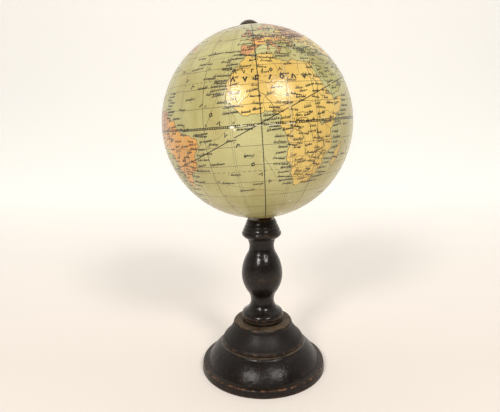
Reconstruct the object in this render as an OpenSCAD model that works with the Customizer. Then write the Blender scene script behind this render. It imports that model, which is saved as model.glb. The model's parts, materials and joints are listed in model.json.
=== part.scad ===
// Small table globe that turns on a leaning spindle above a turned, ebonised wooden stand.
// Millimetres, +Z up. The origin is the centre of the base's underside and the front faces -Y.

/* [Globe] */
// Diameter of the finished, papered globe
globe_d = 120; // [100:1:130]
// Lean of the spindle from upright, towards -X, in degrees
spindle_lean = 4; // [0:0.1:4]
// How far beside the column's centre the spindle enters the cup, towards +X
spindle_offset = 2.4; // [0:0.1:2.5]
// Angle by which the pasted map misses the spindle, in degrees
map_slip = -0.6; // [-2:0.1:2]
// Longitude that faces the front at rest, in degrees east
front_longitude = -2.4; // [-180:0.1:180]
// Thickness of the printed paper
paper_t = 0.25; // [0.15:0.05:0.35]
// Thickness of the smoothed plaster coat
plaster_t = 1.5; // [1.2:0.1:2]
// Thickness of the papier-mache shell
shell_t = 2; // [1.8:0.1:3]

/* [Spindle and finial] */
// Diameter of the steel spindle
spindle_d = 3; // [2.5:0.1:3.4]
// Diameter of the domed nut on top
finial_d = 12.2; // [11:0.1:14]
// Gap between the spindle and the bushes it runs in
running_gap = 0.05; // [0.02:0.01:0.08]

/* [Base] */
// Diameter of the foot
base_d = 85; // [82:1:95]
// Height of the straight band around the foot
flange_h = 5; // [4:0.5:6]
// Height of the lower disc, up to its fillet
lower_h = 19; // [18:0.5:21]
// Diameter of the fillet on the lower disc
fillet_d = 56.8; // [54:0.1:60]
// Height of the whole base, up to its flat ledge
base_h = 33.5; // [32:0.5:36]
// Diameter of the flat ledge
ledge_d = 39; // [37:0.5:42]

/* [Column] */
// Height of the cup on which the globe rests
stand_h = 104.6; // [98:0.1:115]
// Diameter of the foot ring
foot_d = 28.4; // [26:0.1:30]
// Diameter of the lower neck
lower_neck_d = 15.8; // [14:0.1:18]
// Diameter of the vase
vase_d = 27.6; // [24:0.1:30]
// Diameter of the upper neck
upper_neck_d = 16.6; // [15:0.1:18]
// Diameter of the cup's lip
cup_d = 26.4; // [24:0.1:28]
// Diameter of the cup's top face
cup_top_d = 17.8; // [16:0.1:19]

/* [Hidden] */
$fn = 96;
gore_count = 12;
gore_angle = 360 / gore_count;

// radii of the globe's layers, from the outside in
globe_r = globe_d / 2;
plaster_r = globe_r - paper_t;
shell_r = plaster_r - plaster_t;
hollow_r = shell_r - shell_t;
band_t = 0.5;
band_w = 12;
calotte_angle = 10;

// brass bush at each pole
spindle_r = spindle_d / 2;
bush_r = 3;
bush_flange_r = 4.5;
bush_flange_t = 1;
bush_proud = 0.2;
bush_l = 12;
strut_r = 6;
strut_bore_r = 2.1;

// tacks that hold the strut's ends to the shell
tack_offset = 4.4;
tack_shank_r = 0.5;
tack_shank_l = 8;
tack_head_r = 1.2;
tack_head_t = 0.5;
tack_head_z = shell_r - 0.8;

// stack of washers, measured along the spindle
end_play = 0.03;
seat_depth = 0.4;
globe_rise = 1.1;
washer_r = 4.5;
top_washer_t = 0.6;
centre_h = globe_rise + bush_proud + globe_r;
spindle_depth = 32;
bush_face = globe_r + bush_proud;
finial_seat = bush_face + end_play + top_washer_t;
finial_rim = globe_r + 0.05;
finial_h = 3.5;
finial_r = finial_d / 2;

// radii of the turned stand
base_r = base_d / 2;
fillet_r = fillet_d / 2;
ledge_r = ledge_d / 2;
foot_r = foot_d / 2;
lower_neck_r = lower_neck_d / 2;
vase_r = vase_d / 2;
upper_neck_r = upper_neck_d / 2;
cup_r = cup_d / 2;
cup_top_r = cup_top_d / 2;

// heights along the column
column_h = stand_h - base_h;
foot_band_h = 2;
foot_z = base_h + 0.057 * column_h;
lower_neck_z = base_h + 0.203 * column_h;
vase_z = base_h + 0.462 * column_h;
upper_neck_z = base_h + 0.74 * column_h;
cup_base_z = stand_h - 13.8;
lip_low_z = stand_h - 11.4;
lip_high_z = stand_h - 8.4;

// joinery of the stand
spigot_r = 9;
spigot_l = 7;
tenon_r = 6;
tenon_l = 10;
screw_r = 1.9;
screw_clear_r = 2.2;
screw_head_r = 4;
screw_head_h = 2.8;
screw_slot_w = 1.2;
screw_slot_d = 1.3;
screw_tip_z = base_h + 14;
recess_r = 8;
recess_h = 5;
screw_washer_r = 7;
screw_washer_t = 1;

ebony = [0.09, 0.07, 0.06];
inside_wood = [0.66, 0.50, 0.33];
steel = [0.62, 0.62, 0.60];
brass = [0.70, 0.56, 0.28];
card = [0.62, 0.54, 0.42];
plaster_white = [0.88, 0.86, 0.80];
map_paper = [0.74, 0.72, 0.50];

function gore_name(i) = str("gore_", i < 10 ? "0" : "", i);

// ---- outlines ----

// A circular arc from p to q, without q itself, that bulges by rise to the right of the way there.
function bow(p, q, rise, steps = 7) =
    let (
        way = (q - p) / norm(q - p),
        side = [way.y, -way.x],
        half_angle = 2 * atan(2 * rise / norm(q - p)),
        radius = norm(q - p) / 2 / sin(half_angle),
        centre = (p + q) / 2 + side * (rise - radius)
    )
    [for (i = [0 : steps - 1])
        let (angle = half_angle * (2 * i / steps - 1))
        centre + radius * (cos(angle) * side + sin(angle) * way)];

// An S-curve from p to q, without q itself, upright at both ends, that turns over at the share k.
function ogee(p, q, k) =
    let (
        middle = p + k * (q - p),
        bulge = tan(atan((q.x - p.x) / (q.y - p.y)) / 2) / 2
    )
    concat(bow(p, middle, -bulge * norm(middle - p)), bow(middle, q, bulge * norm(q - middle)));

function plinth_outline() = concat(
    [[0, 0]],
    bow([base_r, 0], [base_r - 0.5, flange_h - 0.7], 0.1, 3),
    bow([base_r - 0.5, flange_h - 0.7], [base_r - 1.2, flange_h], 0.2, 4),
    [[base_r - 1.2, flange_h], [base_r - 3.6, flange_h + 0.2]],
    bow([base_r - 4.2, flange_h + 0.4], [fillet_r + 1.5, lower_h - 2.4], 0.9, 12),
    bow([fillet_r + 1.5, lower_h - 2.4], [fillet_r, lower_h - 0.7], -0.25, 4),
    [[fillet_r, lower_h - 0.7], [fillet_r, lower_h], [0, lower_h]]
);

function tier_outline() = concat(
    [[0, lower_h - spigot_l], [spigot_r, lower_h - spigot_l], [spigot_r, lower_h]],
    bow([fillet_r - 0.8, lower_h], [fillet_r - 1.8, lower_h + 3], 0.45, 6),
    bow([fillet_r - 1.8, lower_h + 3], [ledge_r + 0.7, base_h - 2.7], -0.6, 8),
    bow([ledge_r + 0.7, base_h - 2.7], [ledge_r, base_h], 0.25, 5),
    [[ledge_r, base_h], [0, base_h]]
);

function cup_outline() = concat(
    bow([upper_neck_r, upper_neck_z], [upper_neck_r + 0.9, cup_base_z - 0.7], -0.2),
    [[upper_neck_r + 0.9, cup_base_z - 0.7], [upper_neck_r + 0.9, cup_base_z]],
    bow([upper_neck_r + 0.7, cup_base_z], [cup_r - 0.6, lip_low_z], 0.3, 4),
    bow([cup_r - 0.6, lip_low_z], [cup_r - 0.6, lip_high_z], 0.6, 8),
    bow([cup_r - 0.85, lip_high_z + 0.1], [cup_r - 1.6, lip_high_z + 2.4], 0.2, 4),
    bow([cup_r - 1.85, lip_high_z + 2.5], [cup_r - 2.5, lip_high_z + 4.4], 0.25, 4),
    bow([cup_r - 2.7, lip_high_z + 4.5], [cup_top_r, stand_h], 0.3, 6),
    [[cup_top_r, stand_h], [0, stand_h]]
);

function column_outline() = concat(
    [[0, base_h - tenon_l], [tenon_r, base_h - tenon_l], [tenon_r, base_h]],
    [[foot_r - 0.2, base_h], [foot_r - 0.2, base_h + foot_band_h]],
    [[foot_r - 0.55, base_h + foot_band_h + 0.1], [foot_r - 0.55, base_h + foot_band_h + 0.4]],
    bow([foot_r - 0.4, base_h + foot_band_h + 0.5], [foot_r, foot_z], 0.1, 3),
    ogee([foot_r, foot_z], [lower_neck_r, lower_neck_z], 0.3),
    ogee([lower_neck_r, lower_neck_z], [vase_r, vase_z], 0.35),
    ogee([vase_r, vase_z], [upper_neck_r, upper_neck_z], 0.73),
    cup_outline()
);

function finial_outline() = concat(
    [[0, finial_rim], [finial_r - 0.4, finial_rim]],
    bow([finial_r - 0.4, finial_rim], [finial_r - 0.3, finial_rim + 0.9], 0.35, 5),
    bow([finial_r - 0.3, finial_rim + 0.9], [0.01, finial_rim + finial_h], 0.85, 9),
    [[0, finial_rim + finial_h]]
);

// ---- helpers ----

module on_spindle() {
    translate([spindle_offset, 0, stand_h]) rotate([0, -spindle_lean, 0]) children();
}

module at_globe_centre() {
    on_spindle() translate([0, 0, centre_h]) children();
}

module turned(outline) {
    rotate_extrude() polygon(outline);
}

module rod(r, low, high) {
    translate([0, 0, low]) cylinder(r = r, h = high - low);
}

module ring(outer_r, inner_r, low, high) {
    difference() {
        rod(outer_r, low, high);
        rod(inner_r, low - 1, high + 1);
    }
}

module hollow_ball(outer_r, inner_r) {
    difference() {
        sphere(r = outer_r);
        sphere(r = inner_r);
    }
}

// Repeats its children at the south pole, upside down.
module at_both_poles() {
    children();
    mirror([0, 0, 1]) children();
}

// The tacks at the north pole; their seats are open outwards.
module north_tacks(head_top) {
    for (side = [-1, 1]) translate([0, side * tack_offset, 0]) {
        rod(tack_shank_r, tack_head_z - tack_shank_l, tack_head_z);
        rod(tack_head_r, tack_head_z, head_top);
    }
}

module half_shell(north) {
    color(card) at_globe_centre() mirror([0, 0, north ? 0 : 1]) difference() {
        hollow_ball(shell_r, hollow_r);
        translate([-globe_r, -globe_r, -globe_r]) cube([globe_d, globe_d, globe_r]);
        rod(bush_r, 0, globe_r);
        north_tacks(shell_r + 1);
    }
}

module bush(north) {
    color(brass) at_globe_centre() mirror([0, 0, north ? 0 : 1]) difference() {
        union() {
            rod(bush_r, bush_face - bush_l, bush_face);
            rod(bush_flange_r, bush_face - bush_flange_t, bush_face);
        }
        rod(spindle_r + running_gap, 0, globe_d);
    }
}

module map_layer() {
    hollow_ball(globe_r, plaster_r);
}

module polar_cone() {
    cylinder(r1 = 0, r2 = globe_d * tan(calotte_angle), h = globe_d);
}

// ---- stand ----

module base_plinth() {
    color(ebony) difference() {
        turned(plinth_outline());
        rod(spigot_r, lower_h - spigot_l, lower_h + 1);
        rod(screw_clear_r, 0, lower_h);
        rod(recess_r, -1, recess_h);
    }
}

module base_tier() {
    color(ebony) difference() {
        turned(tier_outline());
        rod(tenon_r, base_h - tenon_l, base_h + 1);
        rod(screw_clear_r, 0, base_h);
    }
}

module column() {
    color(ebony) difference() {
        turned(column_outline());
        rod(screw_r, 0, screw_tip_z);
        on_spindle() rod(spindle_r, -spindle_depth, 5);
        on_spindle() rod(washer_r, -seat_depth, 5);
    }
}

module column_screw() {
    head_top = recess_h - screw_washer_t;
    color(steel) difference() {
        union() {
            rod(screw_r, head_top - 0.5, screw_tip_z);
            rod(screw_head_r, head_top - screw_head_h, head_top);
        }
        translate([-screw_head_r, -screw_slot_w / 2, 0])
            cube([2 * screw_head_r, screw_slot_w, head_top - screw_head_h + screw_slot_d]);
    }
}

module screw_washer() {
    color(steel) ring(screw_washer_r, screw_clear_r, recess_h - screw_washer_t, recess_h);
}

// ---- spindle and what is fixed to it ----

module spindle() {
    color(steel) on_spindle() rod(spindle_r, -spindle_depth, centre_h + finial_seat + 1.2);
}

module support_washer() {
    color(brass) on_spindle() ring(washer_r, spindle_r, -seat_depth, globe_rise - end_play);
}

module top_washer() {
    color(brass) at_globe_centre() ring(washer_r, spindle_r, bush_face + end_play, finial_seat);
}

module finial() {
    color(ebony) at_globe_centre() difference() {
        turned(finial_outline());
        rod(washer_r + 0.3, 0, finial_seat);
        rod(spindle_r, 0, finial_seat + 1.2);
    }
}

// ---- globe ----

module joint_band() {
    color(card) at_globe_centre() intersection() {
        hollow_ball(hollow_r, hollow_r - band_t);
        rod(globe_r, -band_w / 2, band_w / 2);
    }
}

module plaster_coat() {
    color(plaster_white) at_globe_centre() difference() {
        hollow_ball(plaster_r, shell_r);
        rod(bush_r, -globe_r, globe_r);
        at_both_poles() rod(bush_flange_r, bush_face - bush_flange_t, globe_d);
    }
}

module strut() {
    color(inside_wood) at_globe_centre() difference() {
        intersection() {
            rod(strut_r, -globe_r, globe_r);
            sphere(r = hollow_r);
        }
        rod(strut_bore_r, -globe_r, globe_r);
        at_both_poles() rod(bush_r, bush_face - bush_l, globe_r);
        at_both_poles() north_tacks(globe_r);
    }
}

module pole_tacks() {
    color(steel) at_globe_centre() at_both_poles() north_tacks(tack_head_z + tack_head_t);
}

module calotte(north) {
    color(map_paper) at_globe_centre() mirror([0, 0, north ? 0 : 1]) difference() {
        rotate([0, north ? -map_slip : map_slip, 0]) intersection() {
            map_layer();
            polar_cone();
        }
        rod(bush_flange_r, 0, globe_d);
    }
}

// One printed strip; the first is centred on the prime meridian, the others follow eastwards.
module gore(i) {
    turn = -90 - front_longitude + (i - 1) * gore_angle;
    edge = globe_d * [cos(gore_angle / 2), sin(gore_angle / 2)];
    color(map_paper) at_globe_centre() rotate([0, -map_slip, 0]) rotate([0, 0, turn]) difference() {
        intersection() {
            map_layer();
            translate([0, 0, -globe_r]) linear_extrude(height = globe_d)
                polygon([[0, 0], [edge.x, -edge.y], edge]);
        }
        at_both_poles() polar_cone();
    }
}

base_plinth();
base_tier();
column();
column_screw();
screw_washer();
spindle();
support_washer();
top_washer();
finial();
half_shell(false);  // shell_south
half_shell(true);  // shell_north
joint_band();
plaster_coat();
strut();
pole_tacks();
bush(false);  // bush_south
bush(true);  // bush_north
calotte(false);  // calotte_south
calotte(true);  // calotte_north
for (i = [1 : gore_count])
    gore(i);
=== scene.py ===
import json
import math
import random

import bpy
import numpy as np
from mathutils import Matrix, Vector, noise
from mathutils.geometry import delaunay_2d_cdt


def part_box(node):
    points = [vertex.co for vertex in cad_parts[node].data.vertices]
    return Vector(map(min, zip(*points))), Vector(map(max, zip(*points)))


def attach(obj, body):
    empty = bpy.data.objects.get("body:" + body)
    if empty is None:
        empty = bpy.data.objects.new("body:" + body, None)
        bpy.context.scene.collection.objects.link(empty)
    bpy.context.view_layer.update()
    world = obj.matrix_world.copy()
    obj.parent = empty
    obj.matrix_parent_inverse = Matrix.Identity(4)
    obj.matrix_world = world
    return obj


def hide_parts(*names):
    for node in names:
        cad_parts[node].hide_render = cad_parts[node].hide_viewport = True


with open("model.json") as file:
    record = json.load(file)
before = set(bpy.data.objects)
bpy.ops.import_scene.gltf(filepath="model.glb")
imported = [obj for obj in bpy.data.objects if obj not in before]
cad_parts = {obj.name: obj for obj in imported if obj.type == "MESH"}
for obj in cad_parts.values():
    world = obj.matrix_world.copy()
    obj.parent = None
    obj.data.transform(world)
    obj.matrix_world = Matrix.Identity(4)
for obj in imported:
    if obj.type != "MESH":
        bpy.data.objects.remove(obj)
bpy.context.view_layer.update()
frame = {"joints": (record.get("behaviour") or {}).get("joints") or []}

MM = 0.001
SEED = 1907

# ---------------------------------------------------------------- the ball's place and the map's axes

SPIN = next(j for j in frame["joints"] if j["name"] == "globe_spin")
SPINDLE_AXIS = Vector(SPIN["axis"]).normalized()
PLASTER_LOW, PLASTER_HIGH = (Vector(corner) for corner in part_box("plaster_coat"))
GLOBE_CENTRE = (PLASTER_LOW + PLASTER_HIGH) / 2
PAPER_T = 0.25 * MM
GLOBE_R = (PLASTER_HIGH.y - PLASTER_LOW.y) / 2 + PAPER_T
R_MM = GLOBE_R / MM

# The pasted map leans by 0.6 degrees against the spindle, and 2.4 degrees west faces the front.
MAP_SLIP = math.radians(-0.6)
FRONT_LONGITUDE = -2.4
GORE_COUNT = 12
GORE_ANGLE = 360 / GORE_COUNT
CALOTTE_LAT = 80


def map_axes():
    """Directions of longitude 0, longitude 90 east and north on the pasted map."""
    north = Matrix.Rotation(-MAP_SLIP, 3, "Y") @ SPINDLE_AXIS
    east_side = (Vector((1, 0, 0)) - north * north.x).normalized()
    away = north.cross(east_side)
    turn = math.radians(-FRONT_LONGITUDE)
    zero = math.sin(turn) * east_side - math.cos(turn) * away
    return zero, north.cross(zero), north


AXES = np.array([list(axis) for axis in map_axes()])


def on_globe(lon, lat, radius):
    """World positions of longitudes and latitudes in degrees, radius metres from the globe's centre."""
    lon, lat = np.radians(lon), np.radians(lat)
    local = np.stack([np.cos(lat) * np.cos(lon), np.cos(lat) * np.sin(lon), np.sin(lat)], -1)
    return local @ AXES * np.expand_dims(np.broadcast_to(radius, lon.shape), -1) + np.array(GLOBE_CENTRE)


# ---------------------------------------------------------------- geography, in degrees east and north

AFRICA = [
    (-6, 36), (-2, 35), (1, 36.5), (5, 37), (10, 37.3), (11, 35.5), (10, 34), (12, 32.8), (15, 32.3),
    (19, 30.3), (20, 32), (22, 33), (25, 31.5), (29, 31), (31, 31.5), (32.3, 31), (32.5, 29.5),
    (34, 27), (35.5, 24), (37, 21), (37.5, 18.5), (39.5, 15.5), (41.5, 13.5), (43.3, 12), (43, 11),
    (45, 10.5), (48, 11.3), (51, 12), (51, 10.5), (49.5, 7), (47.5, 4), (44, 1), (41, -2), (39, -5),
    (39.5, -8), (40.5, -11), (40.5, -15), (37, -18), (35, -20), (35.5, -23.5), (33, -25.5),
    (32.5, -28), (30, -31), (27, -33.7), (22, -34.2), (20, -34.8), (18.3, -34), (18, -32),
    (16.5, -28.5), (15, -26), (14.5, -22), (12, -17.5), (12.5, -14), (13.5, -12), (13, -9), (12, -6),
    (9, -1), (9.5, 1), (9.5, 4), (7, 4.5), (5, 6), (2, 6.3), (-2, 5), (-5, 5.2), (-8, 4.5), (-11, 6.8),
    (-13, 9), (-15, 11), (-17, 13), (-17, 15), (-16, 18), (-17, 21), (-15, 24), (-13, 27.5), (-10, 30),
    (-9.5, 32), (-7, 34),
]
EURASIA = [
    (32.6, 29.8), (34, 28), (35, 29.5), (37, 26), (39, 21.5), (42.5, 16.5), (43.3, 12.8), (45, 13),
    (49, 14), (52, 16), (55, 17.5), (57.5, 19), (59.8, 22.5), (58, 24), (56.3, 26.2), (54, 24.2),
    (51.5, 24.3), (51.3, 26), (50, 26.5), (48, 29.8), (50, 30.2), (52, 27.5), (57, 27), (58, 25.5),
    (66.5, 25), (68, 23.5), (70.5, 22.3), (70, 21), (72.5, 21), (73, 18), (74.5, 14), (76.5, 9.5),
    (77.5, 8), (79.5, 10.5), (80.3, 13.5), (80.3, 15.7), (82.3, 16.7), (86, 20), (88, 21.7),
    (91, 22.5), (92.5, 20.5), (94.3, 16.2), (96.5, 16.8), (97.7, 14), (98.6, 10), (98.3, 8),
    (100.3, 6), (101.5, 2.8), (103.8, 1.4), (103.3, 4.5), (101, 7), (99.3, 9.5), (100, 13.3),
    (101.5, 12.6), (103.5, 10.5), (105, 8.8), (107, 10.4), (109.2, 12.5), (108.5, 15.8), (106, 18.7),
    (107, 21), (109.8, 21.5), (113.5, 22.3), (117, 23.5), (119.5, 25.5), (121.7, 28.5), (121.8, 31.5),
    (119.3, 35), (122.5, 37), (119, 37.5), (118, 39), (121.5, 39), (121.5, 40.8), (124.5, 39.8),
    (125.3, 37.5), (126.5, 34.5), (129, 35.3), (129.3, 37), (127.5, 39.8), (130.5, 42.3), (135, 43.5),
    (138.5, 46.5), (140.5, 50), (141, 53), (137, 54), (142, 59.3), (149, 59.5), (155, 59.5),
    (160, 61.7), (164, 62.5), (157, 58), (155.7, 55), (156.8, 51), (160, 53), (163, 58), (170, 60),
    (177, 62.5), (181, 65), (190, 66), (185, 67.5), (180, 69), (170, 70), (160, 69.7), (150, 71.5),
    (140, 72.5), (130, 71.5), (127, 73.3), (114, 73.7), (108, 76.5), (104, 77.7), (95, 76), (87, 75),
    (80.5, 73.5), (80, 72), (74, 71.5), (72, 68.5), (69, 69), (67, 71), (68.5, 68.5), (60, 69),
    (54, 68.5), (46, 68), (44, 66.3), (40, 66), (39.5, 64.8), (34.5, 64.8), (34, 66.5), (40.5, 66.7),
    (41, 67.7), (33, 69.5), (28, 71), (20, 70), (14, 67.5), (11, 64.3), (5.5, 62), (5.3, 59), (8, 58),
    (10.5, 59.3), (12, 57), (12.8, 55.5), (16.3, 56.5), (17, 59), (19, 60), (17.3, 61.5), (20, 63.5),
    (24, 65.8), (25, 65), (21.5, 62.5), (22.5, 60), (28, 60.5), (24, 59.3), (24.3, 57.3), (21.3, 57),
    (21, 55.3), (19, 54.4), (14.2, 54), (11, 54.3), (10.5, 57.5), (8.3, 57), (8.5, 54), (5, 53.3),
    (3.5, 51.5), (1.7, 50.8), (0.2, 49.6), (-1.5, 49.6), (-1.7, 48.7), (-4.7, 48.4), (-2.5, 47.3),
    (-1.2, 46), (-1.5, 43.5), (-4, 43.4), (-9, 43.3), (-8.8, 40.5), (-9.4, 38.7), (-8.8, 37.1),
    (-6.5, 37), (-5.5, 36.1), (-2, 36.8), (-0.5, 38), (-0.2, 39.6), (3, 41.9), (3.2, 43.2),
    (6.5, 43.2), (8.8, 44.4), (10.5, 42.8), (12.5, 41.5), (15.7, 40), (16, 38), (17, 39), (17, 40.5),
    (18.4, 40), (16, 41.7), (13.7, 43.5), (12.4, 45.2), (13.7, 45.5), (15.2, 44), (18.5, 42.4),
    (19.4, 41), (21, 38.8), (21.5, 36.8), (23, 36.6), (24, 38), (22.8, 40.3), (26, 40.8), (28.8, 41.3),
    (28, 43.5), (29.7, 45.2), (31, 46.6), (33.5, 46), (33.5, 44.5), (36.5, 45.3), (39, 47.2),
    (37.5, 44.8), (41.5, 42), (38.5, 41), (35, 42), (31.5, 41.2), (29.2, 41), (26.2, 40), (27, 38.5),
    (27.5, 36.8), (30.5, 36.5), (34, 36.2), (36, 36.3), (35.5, 33.5), (34.3, 31.2), (32.7, 31),
]
NORTH_AMERICA = [
    (-77.5, 7.5), (-80, 7.3), (-83, 8.3), (-85.7, 10), (-87.5, 13), (-92, 14.5), (-95, 16),
    (-99, 16.7), (-104, 19), (-105.5, 21), (-107, 24), (-110, 27.5), (-113, 31), (-114.8, 31.5),
    (-113, 28.5), (-110, 23.3), (-112, 25), (-114.5, 28), (-116.5, 31), (-118.5, 34), (-121, 35.5),
    (-123.5, 38.7), (-124.3, 42), (-124, 46.5), (-123, 48.5), (-128, 51), (-131, 55), (-136, 58.5),
    (-142, 60), (-148, 60.5), (-152, 59), (-156, 57.5), (-163, 55), (-159, 58.5), (-162, 59.5),
    (-165, 61.5), (-161, 64.3), (-167, 65.5), (-162, 66.5), (-166, 68.3), (-157, 71.2), (-145, 70),
    (-135, 69), (-125, 70), (-115, 68.3), (-108, 68), (-95, 68), (-94, 71.5), (-88, 68), (-82, 69.5),
    (-82, 67), (-87, 65), (-93, 62), (-94.5, 59), (-88, 57), (-82.5, 55), (-82, 52.5), (-79, 51.5),
    (-79, 54.5), (-77, 57), (-78, 60.5), (-77.5, 62.3), (-70, 61), (-65.5, 58.5), (-61.5, 56),
    (-56, 52.5), (-60, 50), (-66.5, 50), (-70, 47), (-65, 48.5), (-65, 46.5), (-61, 45.5),
    (-65.5, 43.5), (-66.5, 45), (-70, 43.5), (-70.5, 41.7), (-74, 40.5), (-76, 37), (-76, 35),
    (-81, 31.5), (-80.2, 26.5), (-81, 25.2), (-82.7, 28), (-84, 30), (-89.5, 30), (-91, 29.3),
    (-97, 28), (-97.5, 23), (-95.7, 18.5), (-91.5, 18.5), (-90.3, 21), (-87, 21.4), (-88, 18),
    (-88.5, 15.8), (-83.2, 15), (-83.7, 11), (-81.5, 9), (-79.5, 9.5), (-77.3, 8.5),
]
SOUTH_AMERICA = [
    (-77.3, 8.5), (-75, 11), (-71.7, 12.3), (-71.5, 11), (-68, 11.5), (-62, 10.7), (-60, 8.5),
    (-57, 6), (-52, 5), (-50, 1.5), (-48, -0.7), (-44, -2.6), (-40, -2.8), (-35.3, -5.3), (-34.8, -8),
    (-37, -11), (-39, -13), (-39, -17.5), (-41, -22), (-45, -23.5), (-48.5, -26), (-48.7, -28.5),
    (-52, -33), (-54.5, -35), (-58, -34), (-57, -36.5), (-62, -39), (-65, -41), (-64, -43),
    (-67, -46), (-66, -48), (-69, -51), (-68.5, -52.5), (-65.2, -54.7), (-69, -55.5), (-73, -53.5),
    (-75.5, -50), (-75, -46.5), (-73, -42), (-73.5, -37), (-71.5, -30), (-70.2, -20), (-73, -16.5),
    (-76.3, -13.7), (-79, -8), (-81.3, -5), (-80, -3), (-80.8, -1), (-78.8, 1.5), (-77.5, 4),
    (-77.5, 7.5),
]
AUSTRALIA = [
    (114, -22), (114, -26), (115.5, -31), (115, -34), (118, -35), (123.5, -34), (129, -31.7),
    (134, -33), (138, -35.5), (140.5, -38), (145, -38.5), (150, -37.3), (152.5, -32.5), (153.5, -28),
    (152, -25), (149, -21), (146, -18.8), (145.3, -15), (143.7, -14.3), (142.5, -11), (141.5, -13.5),
    (140.8, -17.3), (139, -17.3), (135.7, -15), (136.7, -12.2), (132.5, -11.5), (130, -13),
    (129, -15), (125, -14.5), (122.3, -18), (118.5, -20.3),
]
GREENLAND = [
    (-73, 78), (-62, 76), (-55, 71), (-53, 67), (-49, 61.5), (-43.5, 60), (-40, 65), (-32, 68),
    (-22, 70.5), (-19, 76), (-14, 81.5), (-25, 83), (-45, 82.5), (-60, 82),
]
ANTARCTICA = [
    (-180, -78), (-155, -77), (-140, -75), (-120, -74), (-100, -73), (-75, -73), (-67, -67),
    (-57, -63.5), (-62, -68), (-61, -74.5), (-40, -78), (-28, -76), (-12, -71.5), (10, -70),
    (35, -69.5), (50, -67), (70, -69), (90, -66.5), (110, -66.5), (140, -66.7), (155, -69.5),
    (170, -71.5), (165, -77), (180, -78),
]
ISLANDS = [
    # Madagascar, Great Britain, Ireland, Iceland, Svalbard, Novaya Zemlya
    [(49.3, -12), (50.3, -15.5), (49.5, -18), (48, -22), (47, -25), (45, -25.5), (43.5, -23),
     (44, -20), (44.5, -16.5), (47, -15)],
    [(-5.5, 50), (-3.5, 50.3), (1.4, 51.2), (1.6, 52.7), (0, 53.5), (-1.5, 55), (-2, 57.5),
     (-3.2, 58.6), (-5, 58.5), (-6, 56.5), (-4.8, 54.8), (-3, 54), (-4.5, 53), (-4.8, 52), (-3, 51.4)],
    [(-6, 52.2), (-6, 54.5), (-7.5, 55.3), (-10, 54), (-9.8, 51.8)],
    [(-22.5, 64), (-18.5, 63.4), (-14, 65), (-16, 66.4), (-20, 65.8), (-24, 65.5)],
    [(12, 78), (17, 76.7), (25, 78.5), (20, 80)],
    [(52, 71.5), (57, 70.7), (56, 73.5), (68, 76.5), (64, 76.3), (54, 73.5)],
    # Sicily, Sardinia with Corsica, Crete, Cyprus
    [(12.5, 38), (15.5, 38.2), (15, 36.8)],
    [(8.3, 39), (9.7, 39.2), (9.5, 41.3), (9.2, 43), (8.6, 42), (8.3, 40.5)],
    [(23.6, 35.3), (26.2, 35.2), (24.8, 34.9)],
    [(32.3, 34.8), (34.4, 35.6), (33.5, 34.7)],
    # Honshu, Hokkaido, Kyushu, Sakhalin, Taiwan, Hainan
    [(131, 34), (135.5, 33.5), (137, 34.6), (140, 35), (141, 38), (142, 39.5), (141.3, 41.4),
     (140, 40.5), (139.5, 38.3), (137, 37), (136, 35.7), (133, 35.5)],
    [(140, 41.7), (143, 42), (145.3, 43.3), (142, 45.4), (141.3, 43)],
    [(130, 33.5), (131.8, 33.3), (131.3, 31.4), (130.2, 31.3)],
    [(142, 46), (143.5, 49.5), (143, 54), (142, 52)],
    [(120.2, 23), (121, 22), (121.8, 25)],
    [(109, 19.5), (110.5, 20), (110, 18.4)],
    # Luzon, Mindanao, Borneo, Sumatra, Java, Sulawesi, New Guinea
    [(120.3, 16), (120.8, 18.5), (122.2, 18.3), (121.6, 15.8), (124, 13), (121, 13.7)],
    [(122, 7), (124, 8.6), (126, 9), (126.3, 7), (125.3, 5.8)],
    [(109, 1.5), (111.5, 2.8), (115, 5), (117, 7), (119, 5), (117.5, 1), (116.5, -3), (114.5, -4),
     (110.5, -3), (109.2, 0)],
    [(95.3, 5.6), (98, 4.3), (101, 2), (104, -1), (106, -3.5), (105.5, -5.8), (102, -4), (99, -0.5),
     (97, 2.5)],
    [(105.3, -6.3), (108.5, -6.7), (112.5, -6.8), (114.5, -8), (110, -8), (106.5, -7.4)],
    [(119.5, -5.5), (120.5, -3), (122.5, -5), (121.3, -1.9), (123.3, -0.9), (120.2, -0.8),
     (120.5, 0.6), (124.8, 1.5), (120, 1.2), (119.3, -3)],
    [(131, -0.8), (134, -0.9), (135, -3.3), (138, -1.7), (144, -3.8), (147.5, -6), (150.5, -10.5),
     (147, -9.5), (143, -9), (138.5, -8.2), (138, -5.5), (133, -4)],
    # Tasmania, New Zealand's two islands, Sri Lanka
    [(144.8, -40.8), (148.2, -41), (147.5, -43.3), (146, -43.5)],
    [(173, -34.6), (175.5, -37), (178, -37.7), (176.5, -40.5), (175, -41.3), (174, -39.3), (174.8, -37.5)],
    [(172.8, -40.7), (174.2, -41.7), (171.3, -44.3), (169, -46.6), (166.5, -45.8), (170.5, -43)],
    [(80, 9.5), (81.8, 7.5), (80.5, 6)],
    # Baffin, Victoria and Ellesmere islands, Newfoundland, Cuba, Hispaniola
    [(-80, 73.5), (-72, 71), (-62, 66.5), (-66, 62.5), (-73, 64.5), (-73, 68), (-88, 71), (-88, 73.5)],
    [(-117, 73), (-105, 73), (-102, 70), (-108, 69), (-117, 70)],
    [(-90, 76.5), (-78, 76.5), (-65, 81), (-70, 83), (-90, 81.5)],
    [(-59, 47.7), (-53, 46.7), (-53, 48.5), (-56, 51.5)],
    [(-85, 22), (-80, 23.2), (-74.3, 20.2), (-77.5, 19.8), (-78, 21), (-82, 22.3)],
    [(-74.4, 18.4), (-73, 19.9), (-68.5, 18.7), (-71.5, 17.8)],
]
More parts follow.
